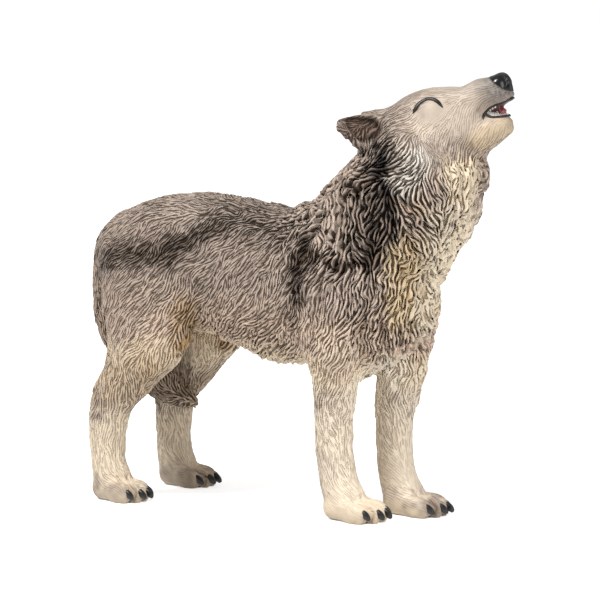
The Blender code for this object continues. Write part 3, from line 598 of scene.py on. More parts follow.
def inStep(points, outward, direction, turns, pairs, wave, rounds):
    # ridges side by side fall in step with their neighbours; where they can't, they fork
    a, b = pairs.T
    offset = points[b] - points[a]
    sideways = np.cross(outward, direction)
    aside = dots(offset, sideways[a] + sideways[b]) / 2
    apart = np.sum(offset**2, axis=1) + 1e-9
    agree = unit(dots(direction[a], direction[b]) * 1.5 - 0.2)
    pull = (0.25 + 0.75 * np.exp(-4 * aside**2 / apart)) * agree
    onward = pull * np.exp(1j * (turns[a] + turns[b]) / 2 * aside)
    for turn in range(rounds):
        toB = wave[a] * onward
        toA = wave[b] * np.conj(onward)
        total = wave * 0.6 + gathered(pairs, len(wave), toA.real, toB.real)
        total = total + 1j * gathered(pairs, len(wave), toA.imag, toB.imag)
        wave = total / (np.abs(total) + 1e-9)
    return wave


def drawnOut(points, outward, direction, pairs, values, rounds):
    # values smeared along the hair
    a, b = pairs.T
    offset = points[b] - points[a]
    aside = dots(offset, np.cross(outward, direction)[a])
    pull = np.exp(-7 * aside**2 / (np.sum(offset**2, axis=1) + 1e-9))
    weight = 0.4 + gathered(pairs, len(values), pull, pull)
    for turn in range(rounds):
        values = (0.4 * values + gathered(pairs, len(values), pull * values[b], pull * values[a])) / weight
    return values / values.std()


def earReach(local):
    # 0 in the middle of the ear's hollow and 1 at its rim
    u = (local[:, 0] / ear["length"] + 0.44) / 0.5
    v = (local[:, 2] / ear["width"] + 0.02 - 0.1 * unit(-u)) / (0.45 - 0.1 * u)
    return (np.abs(u) ** 3 + np.abs(v) ** 3) ** (1 / 3)


def hollowEars(mesh):
    points = coordinates(mesh)
    outward = normals(mesh)
    for hand in (-1, 1):
        local = within(points, earPlace(hand))
        ahead, aside, above = np.array(earPlace(hand))[:3, :3].T
        # the upper corner of the tip stands out and the lower edge hangs a little lower
        onEar = np.abs(local[:, 1]) < 1.2 * ear["thickness"]
        onEar &= np.abs(local[:, 2]) < ear["width"]
        tip = np.clip(-local[:, 0] / ear["length"], 0, 1.1) ** 2 * onEar
        corner = np.clip(local[:, 2] / ear["width"], -0.6, 0.6)
        points -= ahead * (ear["length"] * 0.72 * tip * corner)[:, None]
        points += above * (1.3 * tip ** 0.5 * np.clip(local[:, 2] + 0.4, -3, 0))[:, None]
        openSide = (outward @ (hand * aside) > 0.1) & (np.abs(local[:, 1]) < ear["thickness"])
        deep = 0.62 * ear["thickness"] * unit((1 - earReach(local)) * 3.5) ** 0.8
        points -= hand * aside * (deep * openSide)[:, None]
    setCoordinates(mesh, points)


def cleaveToes(points):
    # the clefts between the toes
    depth = np.zeros(len(points))
    for place, length, width in pawPlaces():
        local = within(points, place)
        onPaw = (local[:, 0] > 0.3 * length) & (np.abs(local[:, 1]) < 0.6 * width) & (
            local[:, 2] < 1.1 * paw["height"]) & (local[:, 0] < 1.1 * length)
        for across in (-0.265, 0.0, 0.265):
            line = across * width * (0.8 + 0.22 * local[:, 0] / length)
            close = np.exp(-((local[:, 1] - line) / 0.33) ** 2)
            far = unit((local[:, 0] / length - 0.46) * 5)
            depth = np.maximum(depth, close * far * onPaw)
    return depth


def levelSoles(mesh):
    # cut level at the ground
    bm = bmesh.new()
    bm.from_mesh(mesh)
    bmesh.ops.bisect_plane(bm, geom=bm.verts[:] + bm.edges[:] + bm.faces[:], dist=1e-7,
                           plane_co=(0, 0, 0), plane_no=(0, 0, 1), clear_inner=True)
    bmesh.ops.holes_fill(bm, edges=[edge for edge in bm.edges if edge.is_boundary], sides=0)
    bmesh.ops.recalc_face_normals(bm, faces=bm.faces)
    bm.to_mesh(mesh)
    bm.free()


base = fused(baseForms(), fine["base"])
blend(base, 40, 3)
coarse = coordinates(base)
coarseOut = normals(base)
spines = list(lockSpines(coarse, coarseOut))
rng = np.random.default_rng(7)
coarseLie, _, coarseTurns = hairLie(coarse, coarseOut)
coarseWave = inStep(coarse, coarseOut, coarseLie, coarseTurns, allPairs(base),
                    np.exp(2j * np.pi * rng.random(len(coarse))), 60)
coarseTree = treeOf(coarse)
levelSoles(base)
print("base", len(coarse), "locks", len(spines))

skin = remeshed(base, fine["skin"])
pairs = edgeList(skin)
points = coordinates(skin)
count = len(points)
points = eased(points, pairs, 6)
sole = points[:, 2] < 0.12
points[sole, 2] = 0
setCoordinates(skin, points)
hollowEars(skin)
points = eased(coordinates(skin), pairs, 2)
setCoordinates(skin, points)
outward = normals(skin)
tree = treeOf(points)
skinPoints = points.copy()
print("skin", count)
clumps = raiseLocks(points, outward, tree, spines)
cleft = cleaveToes(points)
_, coat = lieOfCoat(points, outward, lie)
furred = unit((coat - 0.16) / 0.1)
middle = np.interp(coat, [0.2, 0.33, 0.56, 0.8], [0.17, 0.26, 0.36, 0.78])
rise = (clumps - middle) * furred * (1 + 0.5 * unit(coat * 4 - 1.8))
print("locks raised")
direction, coat, turns = hairLie(points, outward)
beside = np.array([coarseTree.find(point)[1] for point in points])
aside = dots(points - coarse[beside], np.cross(outward, direction))
pairsAcross = allPairs(skin)
wave = inStep(points, outward, direction, turns, pairsAcross,
              coarseWave[beside] * np.exp(1j * turns * aside), 10)
luck = rng.random(count) - 0.5
short = drawnOut(points, outward, direction, pairsAcross, luck, 5)
long = drawnOut(points, outward, direction, pairsAcross, luck, 12)
breaks = short + (long - short) * unit(coat * 1.5 - 0.8)
even = breaks
for turn in range(8):
    even = neighbourMean(even, pairsAcross)
breaks = breaks - even
breaks = np.clip(breaks / breaks.std() * (0.6 + 0.25 * unit(coat * 4 - 1.8)), -1.2, 1.2)
print("ridges in step")
headLocal = within(points, headPlace())
headX, headY, headZ = headLocal.T
onHead = (headX > -4) & (points[:, 2] > 66)
# how strongly the hair is tooled: hardly at all on nose, lips, lids and soles
tooled = np.ones(count)
tooled *= np.clip((26.0 - headX) / 8, 0.12, 1) ** np.where(onHead, 1, 0)
inMouth = (headX > 18.6) & (headZ < -3.0) & (headZ > -6.2) & (np.abs(headY) < 3.1) & (points[:, 2] > 60)
tooled[inMouth] = 0
lid = np.hypot((headX - 11.4) / 2.6, (headZ - 0.6) / 1.9)
lid = np.where(onHead, np.clip(lid - 0.4, 0.1, 1), 1)
tooled = tooled * lid * lid
tooled *= np.clip(points[:, 2] / 5, 0.25, 1)
nearEar = np.zeros(count)
for hand in (-1, 1):
    earMiddle = np.array(earPlace(hand) @ Vector((-0.55 * ear["length"], 0, 0)))
    nearEar = np.maximum(nearEar, unit((5.0 - np.linalg.norm(points - earMiddle, axis=1)) / 1.2))
tooled *= 1 - 0.35 * nearEar
rise *= 1 - nearEar
faceFront = unit((headX - 5) / 4) * unit((headZ + 12) / 3) * onHead
tooled *= 1 - 0.3 * faceFront
# the nose leather, its nostrils, and the mouth between the lips
noseEdge = np.interp(headZ, [-1.7, -1.3, -0.6, 0.2, 1.1, 1.9, 2.6],
                     [25.8, 24.9, 24.2, 23.7, 23.2, 22.8, 22.4])
nose = unit((headX - noseEdge) / 0.22 + 0.5) * onHead * (headZ > -1.9)
upperLip = np.interp(headX, [19.2, 19.9, 20.8, 22.0, 23.0, 24.4], [-3.9, -3.5, -3.1, -2.8, -2.7, -2.6])
lowerLip = np.interp(headX, [19.2, 19.8, 20.5, 21.6, 22.5, 23.6], [-3.9, -4.1, -5.1, -5.6, -5.9, -6.4])
mouth = unit((upperLip - headZ) / 0.2) * unit((headZ - lowerLip) / 0.2)
mouth *= unit((headX - 19.3) / 0.3) * onHead
nostril = np.zeros(count)
for hand in (-1, 1):
    comma = np.array([(24.9, 1.3, 0.8), (25.2, 1.4, 0.1), (24.9, 2.0, -0.4), (24.5, 2.6, -0.45)])
    away, share = nearestAlong(headLocal, comma * (1, hand, 1))
    nostril = np.maximum(nostril, unit(1 - (away / (0.78 - 0.42 * share)) ** 2))
furrow = np.exp(-(headY / 0.16) ** 2) * unit((headX - 24.2) / 0.6)
tooled *= (1 - nose) * (1 - mouth)
rise = rise + 0.16 * nose - 0.8 * nostril * nose - 0.25 * furrow * nose - 0.75 * cleft
rise += 0.25 * np.exp(-((headX - 25.0) ** 2 / 1.6 + (headZ - 1.8) ** 2 / 1.6)) * onHead
rise -= 0.85 * np.exp(-((headX - 25.6) ** 2 / 1.4 + (headZ + 1.6) ** 2 / 2.2)) * onHead
rise -= 0.6 * np.exp(-((headX - 23.9) ** 2 / 2 + (headZ + 7.9) ** 2 / 3)) * onHead
hole = mouth.copy()
for turn in range(4):
    hole = np.minimum(hole, neighbourMean(hole, pairs))
rise -= hole * unit((23.2 - headX) / 1.5)
deep = np.interp(coat, hairs["coat"], hairs["deep"])
fringe = unit(-2 * outward[:, 2] - 0.2) * unit(coat * 5 - 2)
deep *= 1 + 0.6 * fringe
points = points + outward * rise[:, None]
setCoordinates(skin, points)
smoothNormals = normals(skin)
groove = unit(((1 + wave.real) / 2 - hairs["sill"] + hairs["breaks"] * breaks) / hairs["soft"])
points = points + outward * (tooled * deep * (0.38 - groove - 0.35 * breaks * furred))[:, None]
points[sole, 2] = 0
setCoordinates(skin, points)
print("grooves cut")


def linear(text):
    # an sRGB hex colour as the renderer's linear values
    parts = np.array([int(text[i:i + 2], 16) / 255 for i in (1, 3, 5)])
    return np.where(parts <= 0.04045, parts / 12.92, ((parts + 0.055) / 1.055) ** 2.4)


# The airbrushed coat, laid on in order: colour, strength, softness, radii along, out and up,
# then the places that each stroke passes, from rump to head, distance out and height
strokes = [
    # grey beige of the sides, lighter and warmer downwards
    ("#b6a18f", 1, 0.8, (40, 30, 9), [(-14, 8, 35), (20, 8, 34)]),
    ("#e3cfb4", 1, 0.8, (40, 30, 5.4), [(-12, 5, 29.5), (24, 6, 28)]),
    # rump and back
    ("#83766b", 0.9, 0.7, (11, 9, 7), [(-27, 2, 57)]),
    ("#71655b", 0.8, 0.7, (14, 8, 5), [(-8, 2, 59), (6, 2, 58)]),
    ("#a69486", 0.8, 0.7, (9, 12, 8), [(-27, 11, 37)]),
    # cream legs, belly and inner thighs
    ("#b8a58c", 0.95, 0.7, (13, 7, 9), [(-30, 11, 24)]),
    ("#e5d5bd", 1, 0.6, (12, 9, 11), [(-30, 11, 10)]),
    ("#d3c3ab", 0.9, 0.8, (10, 8, 4.4), [(-27, 11, 0.5)]),
    ("#e0cdb1", 1, 0.4, (12, 4.2, 14), [(-20, 3, 27)]),
    ("#faebd2", 0.9, 0.7, (30, 14, 5), [(-16, 0, 26), (18, 0, 26)]),
    ("#cbb8a4", 0.9, 0.7, (9, 10, 8), [(22, 10, 32)]),
    ("#f2e3cd", 1, 0.7, (12, 12, 13), [(22, 6, 17), (24, 6, 8)]),
    ("#dccaae", 0.9, 0.8, (14, 12, 4.4), [(24, 6, 0.5)]),
    ("#f6e9d5", 0.95, 0.8, (7, 4.5, 9), [(25, 1.5, 29)]),
    # stifle fold in brown and ochre
    ("#8b7355", 0.9, 0.8, (4.6, 6, 4.6), [(-15, 8, 38), (-16, 8, 32)]),
    ("#a18055", 0.7, 0.8, (2.6, 6, 2.2), [(-15.4, 8, 32)]),
    ("#ab906c", 0.7, 0.9, (7, 6, 6), [(-22, 11, 28)]),
    # dark saddle stripe from haunch to loin
    ("#463b33", 1, 1, (6, 8, 5), [(-37, 6, 46), (-28, 9, 48.5), (-18, 10, 49.5)]),
    ("#41372f", 1, 0.9, (5, 8, 3.8), [(-17, 9, 51), (-8, 7, 55)]),
    ("#50453c", 0.9, 0.9, (8, 8, 5.2), [(-6, 6, 56), (8, 6, 54)]),
    # shoulder blade blotch and the fold under the mane
    ("#281c14", 1, 0.9, (3.6, 8, 6.4), [(13.6, 10, 53), (12.4, 10, 45)]),
    ("#40342b", 0.8, 0.9, (2.8, 6, 5), [(11.4, 10, 39)]),
    ("#3b2e25", 0.9, 0.8, (4.5, 6, 1.9), [(15, 11, 51), (22, 12, 49.5), (29, 11, 50)]),
    ("#9f8f83", 0.9, 0.8, (6, 8, 6), [(21, 11, 42)]),
    # mane: grey brown behind, black behind the cheek
    ("#8b7c70", 1, 0.7, (10, 14, 10), [(17, 4, 60), (24, 7, 66)]),
    ("#453a32", 0.8, 0.8, (7, 9, 8), [(28, 10, 62), (27, 10, 56)]),
    ("#140c07", 1, 0.9, (4.4, 7, 6.4), [(27, 9, 74), (31, 10.5, 68), (33, 10, 61)]),
    ("#2b2018", 0.9, 0.9, (3.8, 7, 4.2), [(32.5, 9.5, 57), (29, 10, 53)]),
    # breast and throat in cream with ochre
    ("#d6be98", 1, 0.9, (5.6, 9, 8.6), [(35, 7, 50), (34, 7, 42)]),
    ("#f4e4ca", 1, 0.8, (6, 10, 12), [(41, 0, 58), (37, 0, 42)]),
    ("#ead7ba", 0.9, 0.8, (5.5, 9, 7), [(42, 0, 66)]),
    ("#ac967f", 0.7, 0.9, (4.4, 4, 2.6), [(37, 9, 61)]),
]
# The head, in its own axes: along the muzzle, out and up
headStrokes = [
    ("#c8b9a8", 1, 0.6, (13, 12, 8.5), [(12, 2, -1.5)]),
    ("#978b81", 0.9, 0.8, (7, 6, 4), [(3, 1, 5.5), (8, 1, 6)]),
    ("#8f8176", 0.85, 0.8, (5, 6, 4), [(-2, 3, 5), (2, 5.5, 3.5)]),
    ("#b0a497", 0.9, 0.8, (7, 4, 4), [(15, 2, 3), (21, 2, 2)]),
    ("#cdb99c", 0.9, 0.9, (5, 5, 3.6), [(17, 3, -8), (21, 2, -7.6)]),
    ("#c4bcb1", 0.95, 0.9, (4.8, 7, 5.2), [(6, 12, -6.5), (3, 13, -9)]),
    # a pale patch under the closed eye: painted highlight on the bulge of the lower lid
    ("#cdbfae", 0.8, 0.9, (3, 4, 2.2), [(11.4, 6, 0.4)]),
    ("#958c83", 0.5, 0.9, (3.4, 4, 3.2), [(23.4, 2.5, -0.6)]),
    ("#5f5048", 0.9, 0.8, (5.4, 5.5, 3.6), [(-3.5, 9, 4.2)]),
]


def tint(paint, text, share):
    # the paint drawn towards a colour
    paint += (linear(text) - paint) * share[:, None]


def brushed(paint, places, rows, noise):
    # airbrush strokes with soft, slightly ragged edges
    for text, strength, soft, radii, path in rows:
        path = [np.array(spot, float) for spot in path]
        if len(path) == 1:
            path = path * 2
        nearest = np.full(len(places), 9.0)
        for a, b in zip(path, path[1:]):
            span = (b - a) / radii
            outset = (places - a) / radii
            share = unit(outset @ span / (span @ span + 1e-9))
            away = np.linalg.norm(outset - share[:, None] * span, axis=1)
            nearest = np.minimum(nearest, away)
        edge = smoothStep(unit((1.0 - nearest + noise * 0.28) / soft))
        tint(paint, text, edge * strength)
    return paint


noise = softNoise(points, 3.2, 41) * 0.6 + softNoise(points, 1.3, 42) * 0.5
streak = points + direction * (softNoise(points, 1.1, 43) * 1.6)[:, None]
folded = streak * (1, 0, 1) + np.abs(streak) * (0, 1, 0)
paint = np.tile(linear("#96877b"), (count, 1))
paint = brushed(paint, folded, strokes, noise)
headFolded = within(streak, headPlace())
headFolded[:, 1] = np.abs(headFolded[:, 1])
overHead = unit((points[:, 2] - 60) / 4)[:, None]
paint += (brushed(paint.copy(), headFolded, headStrokes, noise) - paint) * overHead
# the dark edge of the tail over the rump, then the tail
tailEdge = [("#43372e", 0.9, 0.8, (3.4, 4.0, 14), [(-41.0, 0, 46), (-40, 0, 30)])]
paint = brushed(paint, folded, tailEdge, noise)
tailLine = np.array([(-35.1, 0, 52.2), (-37.1, 0, 48), (-37.7, 0, 41), (-36.3, 0.3, 33.3), (-32.1, 1, 26.3),
                     (-26.7, 1.6, 21.8), (-22.7, 2, 19.3), (-19.5, 2.2, 17.7)])
fromTail, _ = nearestAlong(skinPoints, tailLine)
onTail = unit((5.0 - fromTail) / 0.6) * (points[:, 2] < 46)
tint(paint, "#837365", onTail * 0.9)

# face: grey speckled muzzle, black nose, red mouth, brown ear hollows with painted shade inside their rims
speckle = np.clip(3 * neighbourMean(luck, pairs), -0.8, 0.8)[:, None]
grizzled = unit((headX - 19.6) / 3.2) * unit((headZ + 3.6) / 1.5) * onHead
paint += (linear("#77706a") * (1 + speckle) - paint) * (grizzled * 0.9)[:, None]
hollows = np.zeros(count)
rimReach = np.zeros(count)
for hand in (-1, 1):
    reach = earReach(within(points, earPlace(hand)))
    aside = hand * np.array(earPlace(hand))[:3, 1]
    inside = unit((0.96 - reach) * 6) * (smoothNormals @ aside > 0.0) * nearEar
    rimReach = np.where(inside > hollows, reach, rimReach)
    hollows = np.maximum(hollows, inside)
tint(paint, "#8f8072", nearEar * unit(1 - np.abs(rimReach - 1.0) * 5) * 0.8)
tint(paint, "#5d4a3e", hollows * 0.85)
# painted shade: darkest just inside the rim of each ear's hollow
tint(paint, "#2c1e16", hollows * unit(1 - np.abs(rimReach - 0.78) * 4.5) * 0.85)
tint(paint, "#4e1114", mouth)
tint(paint, "#131314", nose)
gloss = np.maximum(nose, 0.7 * mouth)

# dark wash for the grooves, dark clefts between the toes, painted shade in the creases and broad painted shade
# between the locks
clumps = eased(clumps, pairs, 2)
broad = eased(clumps, pairs, 12, 1.0)
hollow = unit((broad - clumps) * 3.0) * furred * unit(coat * 2 - 0.7)
creased = eased(skinPoints, pairs, 10, 1.0)
crease = unit(dots(creased - skinPoints, smoothNormals) * 6 - 0.1)
# painted shade between the locks and in the creases, with the dark clefts
dark = np.clip(0.75 * hollow + 0.35 * crease * fineness(skinPoints) + 0.9 * cleft, 0, 0.92)[:, None]
light = paint.mean(axis=1)[:, None]
cheek = [("#ffffff", 1.0, 0.8, (5.4, 8, 5.6), [(6, 12, -6), (3, 13, -9)])]
ruff = brushed(np.zeros((count, 3)), headFolded, cheek, noise) * overHead
washPaint = paint * np.interp(light, [0.03, 0.15, 0.25, 0.35, 0.6], [0.12, 0.26, 0.48, 0.62, 0.84]) * (
    1.06, 0.9, 0.76)
longCoat = unit(coat * 5 - 2)[:, None]
washPaint *= 1 - longCoat * np.interp(light, [0.1, 0.4], [0.62, 0.2])
washPaint *= 1 - 0.6 * ruff
shortPale = unit((0.55 - coat) / 0.15) * np.interp(light[:, 0], [0.22, 0.45], [0.2, 0.6])
# painted light: the wash stays pale on the downward-facing fringe, against the shade under the belly
soften = np.maximum(shortPale, 0.8 * fringe)[:, None]
washPaint += (paint - washPaint) * soften
breaks = breaks + 0.3 * unit((0.22 - light[:, 0]) / 0.15) + 0.25 * ruff[:, 0]
dark *= 1 - 0.6 * unit((light - 0.28) / 0.3)
# the painted shade and the clefts darken the base coat towards the wash
paint = np.clip(paint + (washPaint * 0.7 - paint) * dark, 0.004, 0.9)
# pale dry brush and painted highlight for the ridges, brightest where the coat is dark
dryBrushAndHighlight = paint * np.interp(light, [0.03, 0.15, 0.3, 0.6], [3.4, 2.0, 1.5, 1.2]) * (
    1 + 0.3 * ruff + 0.3 * longCoat)
dryBrushAndHighlight *= np.minimum(1, 0.86 / dryBrushAndHighlight.max(axis=1))[:, None]


def connect(tree, node, values):
    # a socket or a node's first output is linked to the input, and a plain value is set on it
    for name, value in values.items():
        if isinstance(value, bpy.types.Node):
            value = value.outputs[0]
        if isinstance(value, bpy.types.NodeSocket):
            tree.links.new(value, node.inputs[name])
        else:
            node.inputs[name].default_value = value


def addNode(tree, kind, settings=None, values=None):
    node = tree.nodes.new(kind)
    for name, value in (settings or {}).items():
        setattr(node, name, value)
    connect(tree, node, values or {})
    return node


def newMaterial(name):
    material = bpy.data.materials.new(name)
    material.use_nodes = True
    return material, material.node_tree, material.node_tree.nodes["Principled BSDF"]


def wolfPiece(name, mesh, material):
    mesh.materials.clear()
    mesh.materials.append(material)
    piece = added(name, mesh)
    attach(piece, "root")
    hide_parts("wolf")


# The painted skin, cut into closed sections
quads = fetched(skin.loops, "vertex_index", 1, np.int64).reshape(-1, 4)
centres = points[quads].mean(axis=1)
# the ridges' phase at the corners of each square, unwrapped within it
sideways = np.cross(outward, direction)
ridgePhase = np.angle(wave)[quads]
aside = np.einsum("ijk,ijk->ij", points[quads] - points[quads[:, :1]],
                  (sideways[quads] + sideways[quads[:, :1]]) / 2)
expected = ridgePhase[:, :1] + aside * (turns[quads] + turns[quads[:, :1]]) / 2
ridgePhase = expected + np.angle(np.exp(1j * (ridgePhase - expected)))
hairShape = np.stack([breaks, tooled, deep], axis=1)
# painted highlight: the pale dry brush sits on the upper edge of each ridge, as if lit from above
highlightSide = math.pi + 1.2 * np.clip(2 * sideways[:, 2], -1, 1)
centring = np.array([(points[:, 0].min() + points[:, 0].max()) / 2,
                     (points[:, 1].min() + points[:, 1].max()) / 2, 0])
print("centring", centring, points.min(axis=0), points.max(axis=0))


def drawnOutwards(places):
    # the nose a little further forward and the tail's root a little further back
    local = within(places, headPlace())
    front = unit((local[:, 0] - 20.2) / 3.2) * unit((local[:, 2] + 4.4) / 1.4)
    front *= places[:, 2] > 66
    headAxes = np.array(headPlace())[:3, :3]
    back = unit((5.4 - np.abs(places[:, 1])) / 2.6) * unit((-34 - places[:, 0]) / 3)
    back *= unit((places[:, 2] - 25) / 6) * unit((55 - places[:, 2]) / 6)
    front, back = smoothStep(front)[:, None], smoothStep(back)[:, None]
    return places + front * (0.6 * headAxes[:, 0] - 0.55 * headAxes[:, 2]) - back * (1.2, 0, 0)


points = drawnOutwards(points)
neckAxis = np.array([neck["reach"], 0, neck["rise"]]) / math.hypot(neck["reach"], neck["rise"])
part = np.digitize(-centres[:, 0], [-10, 10]) + 2
part[(part == 4) & (centres[:, 2] > 45)] = 5
climb = (centres - neckPoint(0.25, 0.25)) @ neckAxis
part[(climb > 0) & (centres[:, 0] > 5)] = 1
part[(climb > 14) & (centres[:, 0] > 5)] = 0
part[(centres[:, 2] < 27) & (centres[:, 0] > 0)] = 6
part[(centres[:, 2] < 24) & (centres[:, 0] < -10)] = 7
sections = ["head", "mane", "shoulders", "flanks", "haunches", "rump", "forelegs", "hindlegs"]


def paintedCoat():
    # airbrushed plastic, with a dark wash in the tooled grooves and pale dry brush on the ridges, laid on each
    # ridge's upper edge as a painted highlight
    material, tree, shader = newMaterial("satinPaintedPlastic")
    stored = {name: addNode(tree, "ShaderNodeAttribute", {"attribute_name": name}).outputs
              for name in ("paint", "wash", "crest", "phase", "highlightSide", "gloss", "hair")}
    phase = stored["phase"]["Fac"]
    hair = addNode(tree, "ShaderNodeSeparateXYZ", {}, {0: stored["hair"]["Vector"]}).outputs
    place = addNode(tree, "ShaderNodeTexCoord").outputs["Object"]
    grain = addNode(tree, "ShaderNodeTexNoise", {},
                    {"Vector": place, "Scale": 1000 * grains["coat"], "Detail": 2.0})
    # the grain, 0.5 on average, frets the sill
    sill = addNode(tree, "ShaderNodeMath", {"operation": "MULTIPLY_ADD"},
                   {0: hair["X"], 1: -hairs["breaks"], 2: hairs["sill"] + 0.24})
    sill = addNode(tree, "ShaderNodeMath", {"operation": "MULTIPLY_ADD"}, {0: grain, 1: -0.5, 2: sill})
    full = addNode(tree, "ShaderNodeMath", {"operation": "ADD"}, {0: sill, 1: hairs["soft"]})
    height = addNode(tree, "ShaderNodeMath", {"operation": "COSINE"}, {0: phase})
    height = addNode(tree, "ShaderNodeMath", {"operation": "MULTIPLY_ADD"}, {0: height, 1: 0.5, 2: 0.5})
    groove = addNode(tree, "ShaderNodeMapRange", {"interpolation_type": "SMOOTHSTEP"},
                     {"Value": height, "From Min": sill, "From Max": full})
    groove = addNode(tree, "ShaderNodeMath", {"operation": "MULTIPLY"}, {0: groove, 1: hair["Y"]})
    # painted highlight on the upper edge of each ridge
    crest = addNode(tree, "ShaderNodeMath", {"operation": "SUBTRACT"}, {0: phase, 1: stored["highlightSide"]["Fac"]})
    crest = addNode(tree, "ShaderNodeMath", {"operation": "COSINE"}, {0: crest})
    crest = addNode(tree, "ShaderNodeMapRange", {"interpolation_type": "SMOOTHSTEP"},
                    {"Value": crest, "From Min": 0.0, "From Max": 1.0})
    crest = addNode(tree, "ShaderNodeMath", {"operation": "MULTIPLY"}, {0: crest, 1: hair["Y"]})
    lit = addNode(tree, "ShaderNodeMix", {"data_type": "RGBA"},
                  {"Factor": crest, 6: stored["paint"]["Color"], 7: stored["crest"]["Color"]})
    shade = addNode(tree, "ShaderNodeMath", {"operation": "MULTIPLY"}, {0: groove, 1: 0.9})
    coloured = addNode(tree, "ShaderNodeMix", {"data_type": "RGBA"},
                       {"Factor": shade, 6: lit.outputs[2], 7: stored["wash"]["Color"]})
    depth = addNode(tree, "ShaderNodeMath", {"operation": "MULTIPLY"}, {0: groove, 1: hair["Z"]})
    relief = addNode(tree, "ShaderNodeBump", {"invert": True},
                     {"Height": depth, "Distance": 1.4 * mm, "Strength": 1.0})
    rough = addNode(tree, "ShaderNodeMath", {"operation": "MULTIPLY_ADD"},
                    {0: stored["gloss"]["Fac"], 1: -0.3, 2: 0.52})
    # the depths of the grooves keep little of the sheen
    sheen = addNode(tree, "ShaderNodeMath", {"operation": "MULTIPLY_ADD"}, {0: groove, 1: -0.38, 2: 0.42})
    connect(tree, shader, {"Base Color": coloured.outputs[2], "Normal": relief, "Roughness": rough,
                           "Specular IOR Level": sheen, "IOR": plasticIor})
    return material


paintedPlastic = paintedCoat()
opaque = np.ones((count, 1))
layers = [(name, "FLOAT_COLOR", "color", np.hstack([colours, opaque]))
          for name, colours in (("paint", paint), ("wash", washPaint), ("crest", dryBrushAndHighlight))]
layers += [(name, "FLOAT", "value", values[:, None])
           for name, values in (("gloss", gloss), ("highlightSide", highlightSide))]
layers.append(("hair", "FLOAT_VECTOR", "vector", hairShape))


def sectionMesh(name, chosen):
    # the faces of one section, closed by fans over its hidden cuts
    own = quads[chosen]
    used, local = np.unique(own, return_inverse=True)
    local = local.reshape(-1, 4)
    places = points[used] - centring
    edges = np.stack([local, np.roll(local, -1, axis=1)], axis=2).reshape(-1, 2)
    key = np.sort(edges, axis=1)
    key = key[:, 0] * len(used) + key[:, 1]
    _, first, number = np.unique(key, return_index=True, return_counts=True)
    rim = {}
    for a, b in edges[first[number == 1]].tolist():
        rim.setdefault(b, []).append(a)
    fans = []
    extra = []
    while rim:
        loop = [next(iter(rim))]
        while loop[-1] in rim:
            onward = rim[loop[-1]].pop()
            if not rim[loop[-1]]:
                del rim[loop[-1]]
            if onward == loop[0]:
                break
            loop.append(onward)
        hub = len(used) + len(extra)
        extra.append(places[loop].mean(axis=0))
        fans += [(a, b, hub) for a, b in zip(loop, loop[1:] + loop[:1])]
    print(name, "faces", len(local), "cuts", len(extra))
    corners = np.concatenate([local.ravel(), np.array(fans, np.int64).ravel()])
    sizes = np.concatenate([np.full(len(local), 4), np.full(len(fans), 3)])
    mesh = bpy.data.meshes.new(name)
    allPlaces = np.vstack([places] + [extra]) if extra else places
    mesh.vertices.add(len(allPlaces))
    mesh.vertices.foreach_set("co", (allPlaces * mm).ravel())
    mesh.loops.add(len(corners))
    mesh.loops.foreach_set("vertex_index", corners)
    mesh.polygons.add(len(sizes))
    mesh.polygons.foreach_set("loop_start", np.concatenate([[0], np.cumsum(sizes)[:-1]]))
    mesh.update(calc_edges=True)
    if mesh.validate():
        print(name, "had bad faces", len(mesh.loops), len(corners))
    mesh.polygons.foreach_set("use_smooth", np.ones(len(sizes), bool))
    for title, kind, field, values in layers:
        hubs = np.full((len(extra), values.shape[1]), float(kind == "FLOAT_COLOR"))
        made = mesh.attributes.new(title, kind, "POINT")
        made.data.foreach_set(field, np.vstack([values[used], hubs]).ravel())
    made = mesh.attributes.new("phase", "FLOAT", "CORNER")
    made.data.foreach_set("value", np.concatenate([ridgePhase[chosen].ravel(), np.zeros(3 * len(fans))]))
    mesh.normals_split_custom_set_from_vertices(np.vstack([smoothNormals[used], np.zeros((len(extra), 3))]))
    return mesh


for number, name in enumerate(sections):
    wolfPiece("wolf_" + name, sectionMesh(name, part == number), paintedPlastic)


# Painted details of the face and the claws
def enamel(name, text, roughness, mottle):
    # hand-brushed enamel, slightly uneven in tone
    material, tree, shader = newMaterial(name)
    place = addNode(tree, "ShaderNodeTexCoord").outputs["Object"]
    uneven = addNode(tree, "ShaderNodeTexNoise", {},
                     {"Vector": place, "Scale": 1000 * grains["enamel"], "Detail": 2.0})
    tone = addNode(tree, "ShaderNodeMapRange", {},
                   {"Value": uneven, "To Min": 1 - mottle, "To Max": 1 + mottle})
    colour = addNode(tree, "ShaderNodeVectorMath", {"operation": "SCALE"},
                     {0: tuple(linear(text)), "Scale": tone})
    connect(tree, shader, {"Base Color": colour, "Roughness": roughness, "IOR": plasticIor})
    return material


def merged(name, meshes):
    bm = bmesh.new()
    for mesh in meshes:
        bm.from_mesh(mesh)
    places = drawnOutwards(np.array([vertex.co for vertex in bm.verts]) / mm)
    for vertex, place in zip(bm.verts, places):
        vertex.co = Vector(place - centring) * mm
    for face in bm.faces:
        face.smooth = True
    return meshOf(bm, name)


def enamelled(name, meshes, *look):
    wolfPiece(name, merged(name, meshes), enamel(*look))


headTurn = np.array(headPlace())


